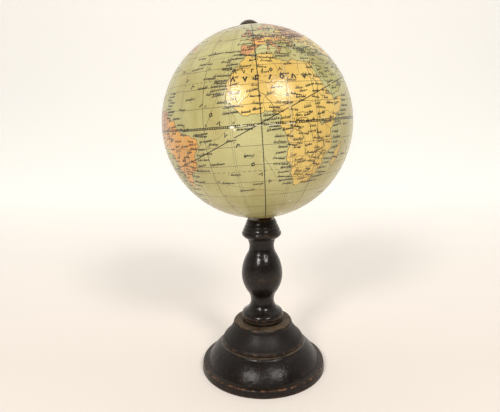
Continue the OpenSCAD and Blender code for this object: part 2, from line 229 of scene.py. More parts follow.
LAKES = [
    # Caspian, Aral, Victoria, Tanganyika, Nyasa, Chad, Baikal, Balkhash
    [(47, 44.5), (50, 45.5), (53, 46.8), (53, 45), (51, 44), (52.5, 41.5), (53.8, 39), (53.5, 37),
     (50, 37.3), (49, 38.5), (49.5, 40.3), (47.8, 42.5)],
    [(58.5, 45), (60, 46.7), (61.7, 45.5), (60, 43.8)],
    [(31.8, -1), (32.5, 0.4), (34, 0.2), (34, -2), (32.5, -2.5)],
    [(29.2, -3.5), (29.8, -5), (31, -8.5), (30, -7.5)],
    [(34, -9.7), (34.8, -11.5), (35.2, -14), (34.4, -12)],
    [(13.2, 13.2), (14.2, 14.2), (15.2, 13.4), (14.3, 12.6)],
    [(104, 51.5), (108, 53.3), (109.7, 55.7), (107, 53.3)],
    [(74, 45), (79, 46.7), (76, 45.8)],
    # Superior, Michigan, Huron, Erie with Ontario, Winnipeg, Great Bear, Great Slave
    [(-92, 46.8), (-88, 48.7), (-84.7, 46.7), (-88, 46.8)],
    [(-87.8, 42), (-86.3, 42.2), (-85.2, 45.6), (-87.5, 44.5)],
    [(-84, 45.8), (-80.5, 45.5), (-81.8, 43.2), (-83.3, 44.5)],
    [(-83, 41.7), (-76.3, 43.3), (-76.5, 44.1), (-79.5, 43.2)],
    [(-97, 50.5), (-96.5, 53), (-99, 53)],
    [(-124, 65.3), (-118, 66.5), (-120, 65)],
    [(-116, 61), (-109.5, 62.8), (-112, 61.3)],
]
COASTS = [AFRICA, EURASIA, NORTH_AMERICA, SOUTH_AMERICA, AUSTRALIA, GREENLAND] + ISLANDS

# Blocks of country that share a printed tint; what none of them holds is ochre.
TINTS = {
    "orange": [
        [(-50, 5), (-60, 5.2), (-60, 2), (-67, 2), (-70, -1), (-70, -4), (-73, -7), (-70, -10),
         (-65, -10), (-60, -14), (-58, -18), (-58, -22), (-54, -25), (-54, -27), (-57.5, -30),
         (-53, -34), (-45, -34), (-30, -20), (-30, 0)],
        [(-2, 43.2), (3.2, 42.2), (7.5, 43.6), (7, 46), (8, 49), (3, 51.3), (-6, 49)],
        [(12, 46.5), (17, 46), (22.5, 48), (24, 50.5), (18, 51), (13, 50)],
        [(68, 24), (70, 28), (75, 33), (80, 30.5), (88, 27), (97, 28), (92, 21), (80, 5), (70, 15)],
        [(-125, 32.5), (-117, 32.5), (-106, 31.8), (-97, 25.8), (-80, 24), (-66, 44.5), (-70, 47),
         (-83, 46), (-95, 49), (-125, 49)],
    ],
    "pink": [
        [(-10, 36), (-5, 35.8), (3.4, 42.3), (-2, 43.3), (-10, 44)],
        [(7, 43.5), (13, 46.3), (14, 45), (19, 39), (15, 36), (8, 38)],
        [(5, 58), (11, 59), (18, 64.5), (24, 66), (30, 60), (28, 57), (24, 50.5), (40, 49), (48, 50),
         (60, 55), (90, 55), (130, 48), (190, 60), (190, 80), (40, 80), (5, 63)],
        [(-82, -5), (-70, -5), (-70, -1), (-67, 2), (-60, 2), (-60, 5.2), (-50, 5), (-58, 14),
         (-83, 13)],
        [(-12, 49), (3, 50.8), (3, 60), (-12, 60)],
        [(-170, 52), (-141, 60), (-125, 49), (-95, 49), (-83, 46), (-70, 47), (-50, 46), (-60, 84),
         (-141, 84), (-141, 70), (-170, 72)],
        [(96, 28), (98, 21), (110, 17), (124, 30), (122, 41), (110, 43), (98, 40), (88, 30)],
    ],
    "green": [
        [(19, 36), (27, 36), (36.5, 35.5), (34.5, 29), (33, 27), (42, 12), (62, 15), (62, 29),
         (61, 37), (53, 37.5), (48, 39), (42, 43), (26, 41), (23, 45), (14, 46), (18, 42)],
        [(60, 24), (68, 24), (70, 28), (75, 34), (66, 37.5), (61, 37), (61, 29)],
        [(-82, -5), (-73, -7), (-70, -10), (-65, -10), (-60, -14), (-58, -18), (-58, -22),
         (-54, -25), (-57.5, -30), (-53, -34), (-60, -58), (-80, -56), (-85, -10)],
        [(112, -10), (129, -10), (129, -36), (110, -36)],
        [(141, -9), (141, -29), (156, -29), (156, -10)],
        [(97, 28), (92, 21), (95, 5), (104, 1), (110, 8), (110, 17), (98, 21)],
        [(-120, 33), (-106, 31.8), (-97, 25.8), (-85, 22), (-82, 7), (-120, 15)],
    ],
    "pale": [
        [(-76, 59), (-10, 59), (-10, 72), (-5, 84), (-76, 84)],
        [(-180, -60), (180, -60), (180, -90), (-180, -90)],
        [(3, 50.8), (8, 49), (14, 50), (19, 51), (21, 56), (13, 58), (3, 56)],
    ],
}

RIVERS = [
    # Nile, Blue Nile, Niger, Benue, Senegal, Congo, Kasai, Ubangi, Zambezi, Orange, Vaal, Limpopo
    [(31, 31), (31, 28), (33, 25), (31.5, 21), (33.5, 19), (32.5, 15.5), (31.5, 10), (31.5, 5), (32, 1)],
    [(32.5, 15.5), (34.5, 12), (37.5, 12)],
    [(6, 5), (6.5, 8), (4, 11.5), (1, 15), (-1, 17), (-3.5, 16.5), (-6, 13.5), (-10, 10.5)],
    [(6.5, 8), (10, 8), (13, 9)],
    [(-16.2, 15.8), (-13, 15.3), (-12, 13.5), (-11, 11)],
    [(12.5, -6), (15.5, -4), (17.5, -0.5), (21, 2), (24, 1.5), (25.5, -3), (27, -8), (28, -11)],
    [(16.5, -3), (20, -4.5), (21.5, -8), (19, -11.5)],
    [(17.5, -0.5), (18.5, 4), (22.5, 4.5), (27, 4)],
    [(36, -18.5), (33, -16.3), (29, -15.8), (26, -18), (23, -16.5), (22.5, -13)],
    [(16.5, -28.6), (20, -28.6), (24, -29), (27, -30.5)],
    [(24, -29), (27, -27), (29.5, -26.5)],
    [(33.5, -25), (31.5, -22.5), (27.5, -23), (26.5, -25)],
    # Amazon, Madeira, Orinoco, Parana, Sao Francisco
    [(-50, 0), (-55, -2.2), (-60, -3.2), (-66, -3), (-70, -4), (-74.5, -5), (-76, -10)],
    [(-59, -3.4), (-62, -7), (-65, -10.5)],
    [(-62, 9), (-65, 8), (-67.5, 5.5), (-65, 2.5)],
    [(-58.3, -33.5), (-60, -31), (-58.5, -27), (-54.5, -25), (-52, -20), (-47.5, -17)],
    [(-36.5, -10.5), (-40, -9), (-43.5, -11), (-44.5, -16), (-45.5, -20)],
    # Danube, Rhine, Dnieper, Volga, Ob, Yenisei, Lena, Amur
    [(29.5, 45.2), (26, 44), (21, 44.8), (19, 47.5), (12, 48.8)],
    [(4.5, 52), (7.5, 50), (8, 47.7)],
    [(32, 46.6), (35, 48.3), (31, 51), (31.5, 54)],
    [(48, 46), (45, 48.7), (49, 53), (49, 56), (43, 56.5), (36, 57.5)],
    [(72, 66.5), (66, 62), (70, 60), (77, 60.5), (84, 56), (86, 51)],
    [(82.5, 71), (86, 66), (88, 61), (92, 56), (95, 52)],
    [(127, 72.5), (123, 67), (129, 62), (118, 60), (107, 54)],
    [(141, 53), (135.5, 48.5), (130.5, 48.5), (126, 52.5), (119, 53)],
    # Tigris, Euphrates, Indus, Ganges, Mekong, Yangtze, Yellow River
    [(48, 30), (45.5, 32.5), (42.5, 36.5), (40, 38)],
    [(46.5, 31), (42, 34), (38.5, 36), (39, 38.5)],
    [(67.5, 24.3), (68.5, 27.5), (72, 32), (74.5, 35.5), (80, 32)],
    [(89, 22.5), (87, 25), (82, 25.5), (78, 30)],
    [(106.5, 10), (105, 14), (101, 18), (100.5, 22), (97, 29)],
    [(121.5, 31.5), (116, 29.8), (111, 30.5), (106, 29.5), (101, 26.5), (98, 32), (92, 34)],
    [(118.5, 37.7), (113.5, 35), (110.3, 35), (110.5, 40), (106.5, 39), (103, 36), (97, 34.5)],
    # Mississippi, Missouri, Mackenzie, Saint Lawrence, Darling
    [(-89.5, 29.5), (-91, 34), (-90, 39), (-93, 45)],
    [(-90, 39), (-96, 41), (-101, 46), (-110, 48)],
    [(-134, 68.7), (-126, 65), (-121, 61), (-114, 59)],
    [(-66, 50), (-71, 47), (-76, 44.5)],
    [(139.5, -35.5), (142, -34), (145, -30), (149, -28)],
]

BORDERS = [
    [(12, -6), (17, -8), (22, -7.5), (22, -11), (24, -13), (22, -17.5), (12, -17.3)],
    [(25.5, -17.8), (21, -18), (21, -22), (20, -25), (20, -28.6)],
    [(25.5, -17.8), (29.5, -22), (32, -25), (31, -29), (28, -31)],
    [(34.5, -14), (30.5, -15), (33, -20), (31.5, -22.5)],
    [(29.5, -3), (31, -1), (35, -1), (39, -4.7)],
    [(34, 0), (35.5, 5), (42, 4), (45, 8.5), (48, 8.5)],
    [(9.5, 2.2), (14, 2), (16.5, 3.5), (15, 8), (13.5, 12)],
    [(2.5, 6.3), (1.5, 11), (4, 13.5), (11, 13), (13.5, 13.5)],
    [(25, 31.5), (25, 22), (37, 22)],
    [(9.5, 37), (8.3, 33), (10, 30), (12, 23.5), (5, 19.5), (-5, 25), (-8.5, 27.7), (-2, 32), (-2, 35)],
    [(-8.5, 27.7), (-13, 27.7)],
    [(24, 9), (27.5, 9.5), (34, 10), (36.5, 14.3), (38.5, 18)],
    [(36, 36.5), (42, 37), (44.5, 39.5), (48, 39)],
    [(45, 37), (46, 33), (48, 30)],
    [(35, 29.5), (39, 32), (42, 31), (48, 29)],
    [(61, 37), (61, 31), (61.5, 25.2)],
    [(44, 17.5), (52, 19), (55, 17.8)],
    [(60, 55), (66, 50), (80, 50.5), (88, 49.5), (98, 50), (116, 50), (127, 50), (131, 48)],
    [(75, 37), (80, 31), (88, 27.8), (97, 28)],
    [(-141, 60), (-141, 69.7)],
    [(-60, -20), (-62, -22), (-54.5, -25)],
    [(-68, -23), (-70, -33), (-72, -45), (-72, -52)],
]


# ---------------------------------------------------------------- the printed map, drawn flat

# what is printed on a triangle of the map, in rising order of precedence
PLAIN, MARGIN, FAINT, INK, CHIP = range(5)

# widths of the printed lines in millimetres
COAST_W = 0.27
RIVER_W = 0.28
BORDER_W = 0.17
TRACK_W = 0.16
PARALLEL_W = 0.22
MERIDIAN_W = 0.26
TROPIC_W = 0.26
PRIME_MERIDIAN_W = 0.46
EQUATOR_LINE_W = 0.3
EQUATOR_BLOCK_W = 0.9
SUN_PATH_W = 0.5
MARGIN_LINE_W = 0.13

# Printed digits as strokes in a cell 0.6 wide and 1 high.
DIGITS = [
    [(0, 0), (0, 1), (0.6, 1), (0.6, 0), (0, 0)],
    [(0.3, 0), (0.3, 1), (0.1, 0.8)],
    [(0, 0.85), (0.3, 1), (0.6, 0.75), (0, 0), (0.6, 0)],
    [(0, 1), (0.6, 1), (0.25, 0.6), (0.6, 0.3), (0.3, 0), (0, 0.1)],
    [(0.45, 0), (0.45, 1), (0, 0.3), (0.6, 0.3)],
    [(0.6, 1), (0, 1), (0, 0.6), (0.5, 0.6), (0.6, 0.2), (0, 0)],
    [(0.5, 1), (0, 0.4), (0.3, 0), (0.6, 0.3), (0.3, 0.55), (0, 0.4)],
    [(0, 1), (0.6, 1), (0.2, 0)],
    [(0.3, 0.55), (0, 0.8), (0.3, 1), (0.6, 0.8), (0, 0.25), (0.3, 0), (0.6, 0.25), (0.3, 0.55)],
    [(0.1, 0), (0.6, 0.6), (0.3, 1), (0, 0.7), (0.3, 0.45), (0.6, 0.6)],
]
# Joined hooks that stand in for handwriting, and open shapes that stand in for capitals.
HOOKS = [
    [(0, 0.05), (0.18, 0.95), (0.42, 0.9), (0.5, 0.1), (0.62, 0.05)],
    [(0, 0.1), (0.3, 1), (0.22, 0.1), (0.5, 0.2), (0.62, 0.75)],
    [(0, 0), (0.55, 1.9), (0.38, 0.1), (0.6, 0)],
    [(0, 0.1), (0.42, 0.9), (0.12, 0.7), (0.3, 0.02), (0.62, 0.3)],
    [(0, 0.9), (0.25, 0.1), (0.5, 0.95), (0.62, 0.5)],
]
CAPITALS = [
    [(0, 0.1), (0.45, 1), (0.9, 0.1)],
    [(0.1, 0), (0.1, 1), (0.8, 1)],
    [(0, 0.5), (0.4, 1), (0.8, 0.5), (0.4, 0), (0, 0.5)],
    [(0.1, 1), (0.45, 0), (0.8, 1)],
    [(0.2, 0), (0.7, 1)],
]


def flat(points, mid_lon):
    """Places in degrees laid out flat on the gore around mid_lon, in millimetres."""
    points = np.asarray(points, dtype=float)
    lat = np.radians(points[:, 1])
    return np.column_stack((R_MM * np.radians(points[:, 0] - mid_lon) * np.cos(lat), R_MM * lat))


def unflat(places, mid_lon):
    """Flat places on the gore around mid_lon back to degrees."""
    lat = places[:, 1] / R_MM
    lon = mid_lon + np.degrees(places[:, 0] / (R_MM * np.cos(lat)))
    return np.column_stack((lon, np.degrees(lat)))


def dense(points, step, closed=False):
    """The same way with a point at least every step degrees."""
    ends = points[1:] + points[:1] if closed else points[1:]
    way = []
    for start, end in zip(points, ends):
        parts = max(1, math.ceil(math.dist(start, end) / step))
        for part in range(parts):
            share = part / parts
            way.append((start[0] + share * (end[0] - start[0]), start[1] + share * (end[1] - start[1])))
    return way if closed else way + [points[-1]]


def wander(points, rough, step=1.1):
    """A closed outline broken into short pieces that stray from it, like an engraved coast."""
    rng = random.Random(f"{SEED} {points[0]} {len(points)}")
    way = []

    def split(start, end):
        length = math.dist(start, end)
        if length < step:
            way.append(start)
            return
        off = rng.uniform(-rough, rough) * length
        middle = (
            (start[0] + end[0]) / 2 - off * (end[1] - start[1]) / length,
            (start[1] + end[1]) / 2 + off * (end[0] - start[0]) / length,
        )
        split(start, middle)
        split(middle, end)

    for start, end in zip(points, points[1:] + points[:1]):
        split(start, end)
    return way


def wander_open(points):
    """An open way broken into short pieces that stray from it."""
    closed = wander(points, 0.16, 1.6)
    end = next(i for i, point in enumerate(closed) if point == points[-1])
    return closed[: end + 1]


def ribbon(places, width, closed):
    """Quads along a way through flat places, mitred at its corners."""
    places = np.asarray(places, dtype=float)
    before = np.roll(places, 1, axis=0)
    after = np.roll(places, -1, axis=0)
    if not closed:
        before[0] = 2 * places[0] - places[1]
        after[-1] = 2 * places[-1] - places[-2]
    back = places - before
    ahead = after - places
    back /= np.linalg.norm(back, axis=1)[:, None] + 1e-9
    ahead /= np.linalg.norm(ahead, axis=1)[:, None] + 1e-9
    along = back + ahead
    along /= np.linalg.norm(along, axis=1)[:, None] + 1e-9
    mitre = 1 / np.clip((along * ahead).sum(axis=1), 0.7, 1)
    side = np.column_stack((-along[:, 1], along[:, 0])) * (mitre * width / 2)[:, None]
    left = places + side
    right = places - side
    quads = []
    for i in range(len(places) if closed else len(places) - 1):
        j = (i + 1) % len(places)
        quad = (right[i], right[j], left[j], left[i])
        if not is_convex(quad):
            square = np.array((-ahead[i][1], ahead[i][0])) * width / 2
            quad = (places[i] - square, places[j] - square, places[j] + square, places[i] + square)
        quads.append(quad)
    return quads


def is_convex(quad):
    """Whether four corners go anticlockwise round a convex shape."""
    turned = zip(quad, quad[1:] + quad[:1], quad[2:] + quad[:2])
    return all((b[0] - a[0]) * (c[1] - b[1]) - (b[1] - a[1]) * (c[0] - b[0]) > 1e-6 for a, b, c in turned)


class Print:
    """Everything printed on the globe: ways in degrees, with a width in millimetres and a kind."""

    def __init__(self):
        self.lines = []

    def line(self, points, width, kind=INK):
        self.lines.append((points, width, kind))

    def strokes(self, shape, lon, lat, height, tilt, width, slant=0.25):
        """One shape from a cell, its lower left corner at lon and lat and height millimetres high."""
        shrink = math.cos(math.radians(lat))
        scale = math.degrees(height / R_MM)
        cos_tilt = math.cos(tilt)
        sin_tilt = math.sin(tilt)
        points = []
        for x, y in shape:
            x = x + slant * y
            points.append((
                lon + scale * (x * cos_tilt - y * sin_tilt) / shrink,
                lat + scale * (x * sin_tilt + y * cos_tilt),
            ))
        self.line(points, width)

    def word(self, lon, lat, length, height, rng, tilt, width=0.3):
        """A run of joined hooks length millimetres long, like a small handwritten name."""
        shrink = math.cos(math.radians(lat))
        step = math.degrees(0.72 * height / R_MM)
        for i in range(max(2, round(length / (0.72 * height)))):
            shape = rng.choice(HOOKS) if i else HOOKS[2]
            at_lon = lon + i * step * math.cos(tilt) / shrink
            at_lat = lat + i * step * math.sin(tilt)
            self.strokes(shape, at_lon, at_lat, height, tilt, width)

    def capitals(self, places, height, tilt, width=0.55):
        """Large open shapes, spaced out along their places."""
        half = math.degrees(height / R_MM) / 2
        for i, (lon, lat) in enumerate(places):
            self.strokes(CAPITALS[i * 3 % 5], lon - half, lat - half, height, tilt, width, 0)

    def number(self, value, lon, lat, height=1.1):
        step = math.degrees(0.85 * height / R_MM) / math.cos(math.radians(lat))
        for i, digit in enumerate(str(value)):
            self.strokes(DIGITS[int(digit)], lon + i * step, lat, height, 0, 0.2, 0.1)


def crossings(ring, lat):
    """Longitudes at which a closed outline crosses a parallel, from west to east."""
    found = []
    for (lon_a, lat_a), (lon_b, lat_b) in zip(ring, ring[1:] + ring[:1]):
        if (lat_a > lat) != (lat_b > lat):
            found.append(lon_a + (lat - lat_a) / (lat_b - lat_a) * (lon_b - lon_a))
    return sorted(found)


def on_land(lon, lat):
    return any(sum(at < lon for at in crossings(ring, lat)) % 2 for ring in COASTS)


def add_grid(sheet):
    """Graticule, polar circles and tropics, equator, path of the sun and the numbers of degrees."""
    for lat in range(-70, 80, 10):
        if lat:
            sheet.line([(-180, lat), (180, lat)], PARALLEL_W, FAINT)
    for lat in (-66.5, -23.5, 23.5, 66.5):
        for lon in range(-180, 180, 3):
            sheet.line([(lon, lat), (lon + 1.8, lat)], TROPIC_W, FAINT)
    for lon in range(-180, 180, 30):
        if lon:
            sheet.line([(lon, -80), (lon, 80)], MERIDIAN_W, FAINT)
    # prime meridian with a tick at every second degree
    sheet.line([(0, -80), (0, 80)], PRIME_MERIDIAN_W)
    for lat in range(-78, 80, 2):
        sheet.line([(-0.55, lat), (0.55, lat)], 0.16)
    # equator: a band between two lines with a block in every degree, worn off here and there
    for lat in (-0.5, 0.5):
        sheet.line([(-180, lat), (180, lat)], EQUATOR_LINE_W)
    for lon in range(-180, 180):
        worn = -13 < lon < 19 and lon % 7 > 3
        if not worn:
            sheet.line([(lon, 0), (lon + 0.6, 0)], EQUATOR_BLOCK_W)
    # path of the sun, broken where the gores meet
    tilt = math.tan(math.radians(24.5))
    for start in range(-165, 195, 30):
        way = []
        for lon in range(start - 29, start, 2):
            way.append((lon, math.degrees(math.atan(tilt * math.sin(math.radians(lon + 1.5))))))
        sheet.line(way, SUN_PATH_W)
    for lat in range(-70, 80, 10):
        if lat:
            sheet.number(abs(lat), -29.4, lat + 0.5)
            sheet.number(abs(lat), 150.6, lat + 0.5)
    for lon in range(-165, 180, 15):
        sheet.number(abs(lon), lon + 0.7, 1.2, 0.9)


def add_large_names(sheet):
    """Names of oceans and countries, as open shapes that run along their places."""
    atlantic = [
        (-50.5, 31.8), (-44.1, 26.3), (-38.4, 21.8), (-31.5, 12.2), (-25.5, 7.1), (-21.4, 2.6),
        (-18.6, -3.4), (-12.7, -9.4), (-9.3, -14.7), (-6.1, -19.2), (-2.3, -25.1), (2.4, -29.8),
    ]
    sheet.capitals(atlantic, 2.1, -0.5, 0.6)
    sheet.capitals([(55 + 5.5 * i, -12 - 4.2 * i) for i in range(9)], 2, -0.6)
    sheet.capitals([(-172 + 7 * i, 8 + 3 * math.sin(i)) for i in range(12)], 2, 0.1)
    sheet.capitals([(-128 + 6 * i, -12 - 2 * i) for i in range(8)], 2, -0.3)
    sheet.capitals([(150 + 4.5 * i, 28 + i) for i in range(6)], 1.7, 0.2)
    sheet.capitals([(-12.3 + 5 * i, 26.8) for i in range(6)], 1.9, 0, 0.6)
    sheet.capitals([(-13.3 + 6.6 * i, 22.8) for i in range(7)], 2.7, 0, 0.85)
    sheet.capitals([(-66 + 4.4 * i, -5 - 2.6 * i) for i in range(5)], 1.8, -0.4, 0.5)
    sheet.capitals([(118 + 5 * i, -24.5) for i in range(7)], 2, 0, 0.36)
    sheet.capitals([(62 + 8 * i, 61 + i % 2) for i in range(8)], 1.8, 0, 0.36)


def add_tracks(sheet):
    """Shipping tracks and sea currents."""
    tracks = [
        [(-0.1, -15.9), (3, -21), (6.8, -28.4)], [(-34, -8), (-22, -5), (-12, 3), (-18, 12)],
        [(-9.5, 37), (-18, 28), (-22, 14), (-30, -2), (-36, -12)], [(12, -38), (-6, -35), (-28, -30)],
        [(44, -28), (60, -20), (75, -5)], [(-60, 40), (-45, 44), (-25, 49), (-8, 50)],
        [(-70, 38), (-45, 30), (-28, 36), (-9, 37)], [(-120, 34), (-140, 26), (-158, 21)],
        [(150, -34), (165, -30), (178, -18), (190, 18)], [(52, 12), (64, 14), (72, 18)],
        [(104, -8), (90, -18), (70, -28), (45, -34)], [(140, 34), (160, 42), (180, 46), (200, 47)],
    ]
    for way in tracks:
        sheet.line(dense(way, 3), TRACK_W, FAINT)


# coasts that have names beside them, each with the usual gap between names in degrees
NAMED_COASTS = [
    (AFRICA, 2.7), (SOUTH_AMERICA, 3.2), (EURASIA, 3.6), (NORTH_AMERICA, 4), (AUSTRALIA, 3.4),
]
TOWN_TRIES = 9000


def add_small_names(sheet):
    rng = random.Random(SEED)
    # names that stand in the sea and end or begin at a coast
    for ring, gap in NAMED_COASTS:
        lat = min(place[1] for place in ring) + 1.5
        top = min(74, max(place[1] for place in ring))
        while lat < top:
            found = crossings(ring, lat)
            length = rng.uniform(5, 9.5)
            reach = math.degrees(length / R_MM) / math.cos(math.radians(lat))
            tilt = rng.uniform(-0.12, 0.12)
            if found and not on_land(found[0] - reach, lat):
                sheet.word(found[0] - reach - 0.6, lat, length, 1.0, rng, tilt)
            if found and not on_land(found[-1] + reach, lat):
                sheet.word(found[-1] + 1.2, lat, length, 1.0, rng, tilt)
            lat += gap * rng.uniform(0.75, 1.25)
    # small islands and shoals with their names
    for lon, lat in (
        (-28, 38.5), (-17, 32.7), (-16, 28.4), (-24, 15.5), (-14, -8), (-6, -16), (-12, -37), (-32, -4),
        (-33, 33), (-38, 30), (-36, 37), (-27, 24), (-30, 19), (-20, 21), (-38, 14), (-43, 9), (-29, -14),
        (-26, -20), (-15, -26), (-22, -31), (-8, -3), (-24, -9), (-3, -33), (57, -20.5), (55, -4.5),
        (72, 4), (96, -12), (70, -49), (52, -46), (145, 13), (158, 7), (178, -18), (-172, -14),
        (-150, -17.5), (-140, -9), (-157, 20.5), (-110, -27), (-91, 0), (-64, 32.3), (166, -21.5),
    ):
        sheet.line([(lon - 0.2, lat), (lon + 0.25, lat + 0.2)], 0.4)
        sheet.line([(lon - 0.8, lat - 0.4), (lon - 0.5, lat - 0.3)], 0.3)
        sheet.word(lon - 4.2, lat + 0.8, rng.uniform(5, 9), 0.95, rng, rng.uniform(-0.1, 0.1))
    # names in the sea to the north-east of South America
    for row in range(9):
        sheet.word(-62 + 1.5 * (row % 3), 6.5 + 1.6 * row, 6 + row % 2, 0.95, rng, -0.05)
    # towns and provinces: close together in Europe, and few of them in the deserts
    placed = []
    for _ in range(TOWN_TRIES):
        lon = rng.uniform(-170, 188)
        lat = rng.uniform(-52, 72)
        crowded = -11 < lon < 42 and 36 < lat < 62
        empty = (-12 < lon < 33 and 17 < lat < 31) or (118 < lon < 138 and -31 < lat < -18)
        room = 1.5 if crowded else 5.2 if empty else 2.9
        if any(abs(lat - b) < room * 0.55 and abs(lon - a) < room * 1.7 for a, b in placed):
            continue
        if on_land(lon, lat) and on_land(lon + 3, lat):
            placed.append((lon, lat))
            height = rng.choice((0.8, 0.95, 1.2))
            sheet.word(lon - 1, lat, rng.uniform(3, 6.5), height, rng, rng.uniform(-0.25, 0.25), 0.29)
            sheet.line([(lon - 2, lat + 0.3), (lon - 1.75, lat + 0.45)], 0.3)


def whole_print():
    sheet = Print()
    add_grid(sheet)
    add_large_names(sheet)
    add_tracks(sheet)
    add_small_names(sheet)
    for way in RIVERS:
        sheet.line(wander_open(way), RIVER_W)
    for way in BORDERS:
        sheet.line(wander_open(way), BORDER_W, FAINT)
    return sheet


# ---------------------------------------------------------------- finishes


def linear(colour):
    """An sRGB colour as the linear values that shaders use, with full alpha."""
    return tuple(c / 12.92 if c <= 0.04045 else ((c + 0.055) / 1.055) ** 2.4 for c in colour) + (1.0,)


class Finish:
    """A material built node by node, with its coordinates in the piece's own metres."""

    def __init__(self, name):
        self.material = bpy.data.materials.new(name)
        self.material.use_nodes = True
        self.tree = self.material.node_tree
        self.surface = self.tree.nodes["Principled BSDF"]
        self.place = self.tree.nodes.new("ShaderNodeTexCoord").outputs["Object"]

    def connect(self, value, socket):
        if isinstance(value, bpy.types.NodeSocket):
            self.tree.links.new(value, socket)
        else:
            socket.default_value = value

    def node(self, kind, inputs, output=0, **settings):
        made = self.tree.nodes.new("ShaderNode" + kind)
        for name, value in settings.items():
            setattr(made, name, value)
        for name, value in inputs.items():
            self.connect(value, made.inputs[name])
        return made.outputs[output]

    def noise(self, scale, detail=3, stretch=(1, 1, 1), output="Fac"):
        """Noise whose features are about 1 / scale metres wide, drawn out along an axis by stretch."""
        shape = tuple(scale / s for s in stretch)
        where = self.node("Mapping", {"Vector": self.place, "Scale": shape})
        return self.node("TexNoise", {"Vector": where, "Scale": 1, "Detail": detail}, output)

    def span(self, value, low, high, to_low=0.0, to_high=1.0):
        return self.node("MapRange", {0: value, 1: low, 2: high, 3: to_low, 4: to_high})

    def times(self, a, b):
        return self.node("Math", {0: a, 1: b}, operation="MULTIPLY")

    def mix(self, share, a, b, how="MIX"):
        """Colour b over colour a by share."""
        return self.node("Mix", {0: share, 6: a, 7: b}, 2, data_type="RGBA", blend_type=how)

    def attribute(self, name, output="Fac"):
        return self.node("Attribute", {}, output, attribute_name=name)

    def bump(self, height, distance, strength=1.0, under=None):
        inputs = {"Height": height, "Distance": distance, "Strength": strength}
        if under:
            inputs["Normal"] = under
        return self.node("Bump", inputs)

    def show(self, **values):
        """Sets the surface's inputs; the names have underscores for spaces."""
        for name, value in values.items():
            self.connect(value, self.surface.inputs[name.replace("_", " ")])
        return self.material


def paper_finish():
    """Varnished printed paper: yellowed in runs, foxed, and dulled in patches."""
    f = Finish("varnished map paper")
    ink = f.attribute("print", "Color")
    runs = f.span(f.noise(70, 5, (1, 1, 4)), 0.42, 0.66)
    cloud = f.span(f.noise(40, 5), 0.38, 0.66)
    specks = f.span(f.noise(900, 2), 0.66, 0.74)
    aged = f.mix(f.times(runs, 0.38), ink, linear((0.84, 0.74, 0.46)), "MULTIPLY")
    dirty = f.mix(f.times(cloud, 0.30), aged, linear((0.78, 0.76, 0.66)), "MULTIPLY")
    foxed = f.mix(f.times(specks, 0.5), dirty, linear((0.55, 0.42, 0.25)), "MULTIPLY")
    fibres = f.noise(1500, 4, (3, 1, 1))
    grained = f.mix(0.14, foxed, f.node("ValToRGB", {"Fac": fibres}), "OVERLAY")
    waves = f.bump(f.noise(120, 3), 0.00025, 0.35)
    grain = f.bump(fibres, 0.00003, 0.5, waves)
    dimples = f.bump(f.noise(620, 3), 0.0003, 0.6, waves)
    dull = f.span(f.noise(55, 4), 0.3, 0.75, 0.36, 0.52)
    rubbed = f.span(f.noise(300, 4), 0.36, 0.62, 0.4, 0.85)
    return f.show(Base_Color=grained, Roughness=dull, Normal=grain, Coat_Weight=rubbed,
                  Coat_Roughness=0.15, Coat_Normal=dimples, Specular_IOR_Level=0.35)


def ebonised_finish(name, roughness, coat, specular, streak):
    """Black-stained wood under old polish, rubbed brown where it is worn and grey where dust sits; along the
    plinth's flange edge the rubbed brown is partly a painted highlight.
    """
    f = Finish(name)
    worn = f.attribute("wear_and_highlight")
    dusty = f.attribute("dust")
    grain = f.noise(420, 4, streak)
    pores = f.span(f.noise(2200, 2, streak), 0.60, 0.72)
    black = f.mix(grain, linear((0.03, 0.022, 0.022)), linear((0.09, 0.062, 0.055)))
    pored = f.mix(f.times(pores, 0.5), black, linear((0.24, 0.19, 0.15)))
    patchy = f.span(f.noise(700, 5), 0.38, 0.62)
    # rubbed brown of worn places; on the plinth's flange edge it also stands for a painted highlight
    rubbed = f.mix(f.times(worn, patchy), pored, linear((0.62, 0.43, 0.27)))
    settled = f.times(dusty, f.span(f.noise(260, 4), 0.25, 0.7, 0.4, 1.0))
    dull = f.mix(settled, rubbed, linear((0.42, 0.36, 0.29)))
    smears = f.span(f.noise(90, 4), 0.3, 0.75, roughness, roughness + 0.16)
    rough = f.node("Mix", {0: settled, 2: smears, 3: 0.7})
    polish = f.bump(f.noise(420, 4), 0.0004, 0.6)
    relief = f.bump(pores, 0.00006, 0.4, polish)
    tool_marks = f.bump(grain, 0.00008, 0.5, relief)
    return f.show(Base_Color=dull, Roughness=rough, Normal=tool_marks, Coat_Weight=coat,
                  Coat_Roughness=0.09, Coat_IOR=1.36, Coat_Normal=polish, Specular_IOR_Level=specular)


def metal_finish(name, bright, tarnish, roughness):
    f = Finish(name)
    spots = f.span(f.noise(500, 5), 0.4, 0.68)
    rings = f.noise(3000, 2, (6, 6, 1))
    rough = f.span(spots, 0, 1, roughness, roughness + 0.25)
    colour = f.mix(spots, linear(bright), linear(tarnish))
    return f.show(Base_Color=colour, Roughness=rough, Metallic=1.0, Normal=f.bump(rings, 0.00002, 0.5))


def matt_finish(name, light, dark, scale, stretch=(1, 1, 1)):
    """A dry surface in two tones, with relief that follows them."""
    f = Finish(name)
    tone = f.noise(scale, 6, stretch)
    fine = f.noise(scale * 7, 3, stretch)
    colour = f.mix(f.span(tone, 0.32, 0.68), linear(dark), linear(light))
    flecked = f.mix(f.span(fine, 0.55, 0.75, 0, 0.45), colour, linear(dark))
    return f.show(Base_Color=flecked, Roughness=f.span(tone, 0.3, 0.7, 0.72, 0.92),
                  Normal=f.bump(fine, 0.0001, 0.6))


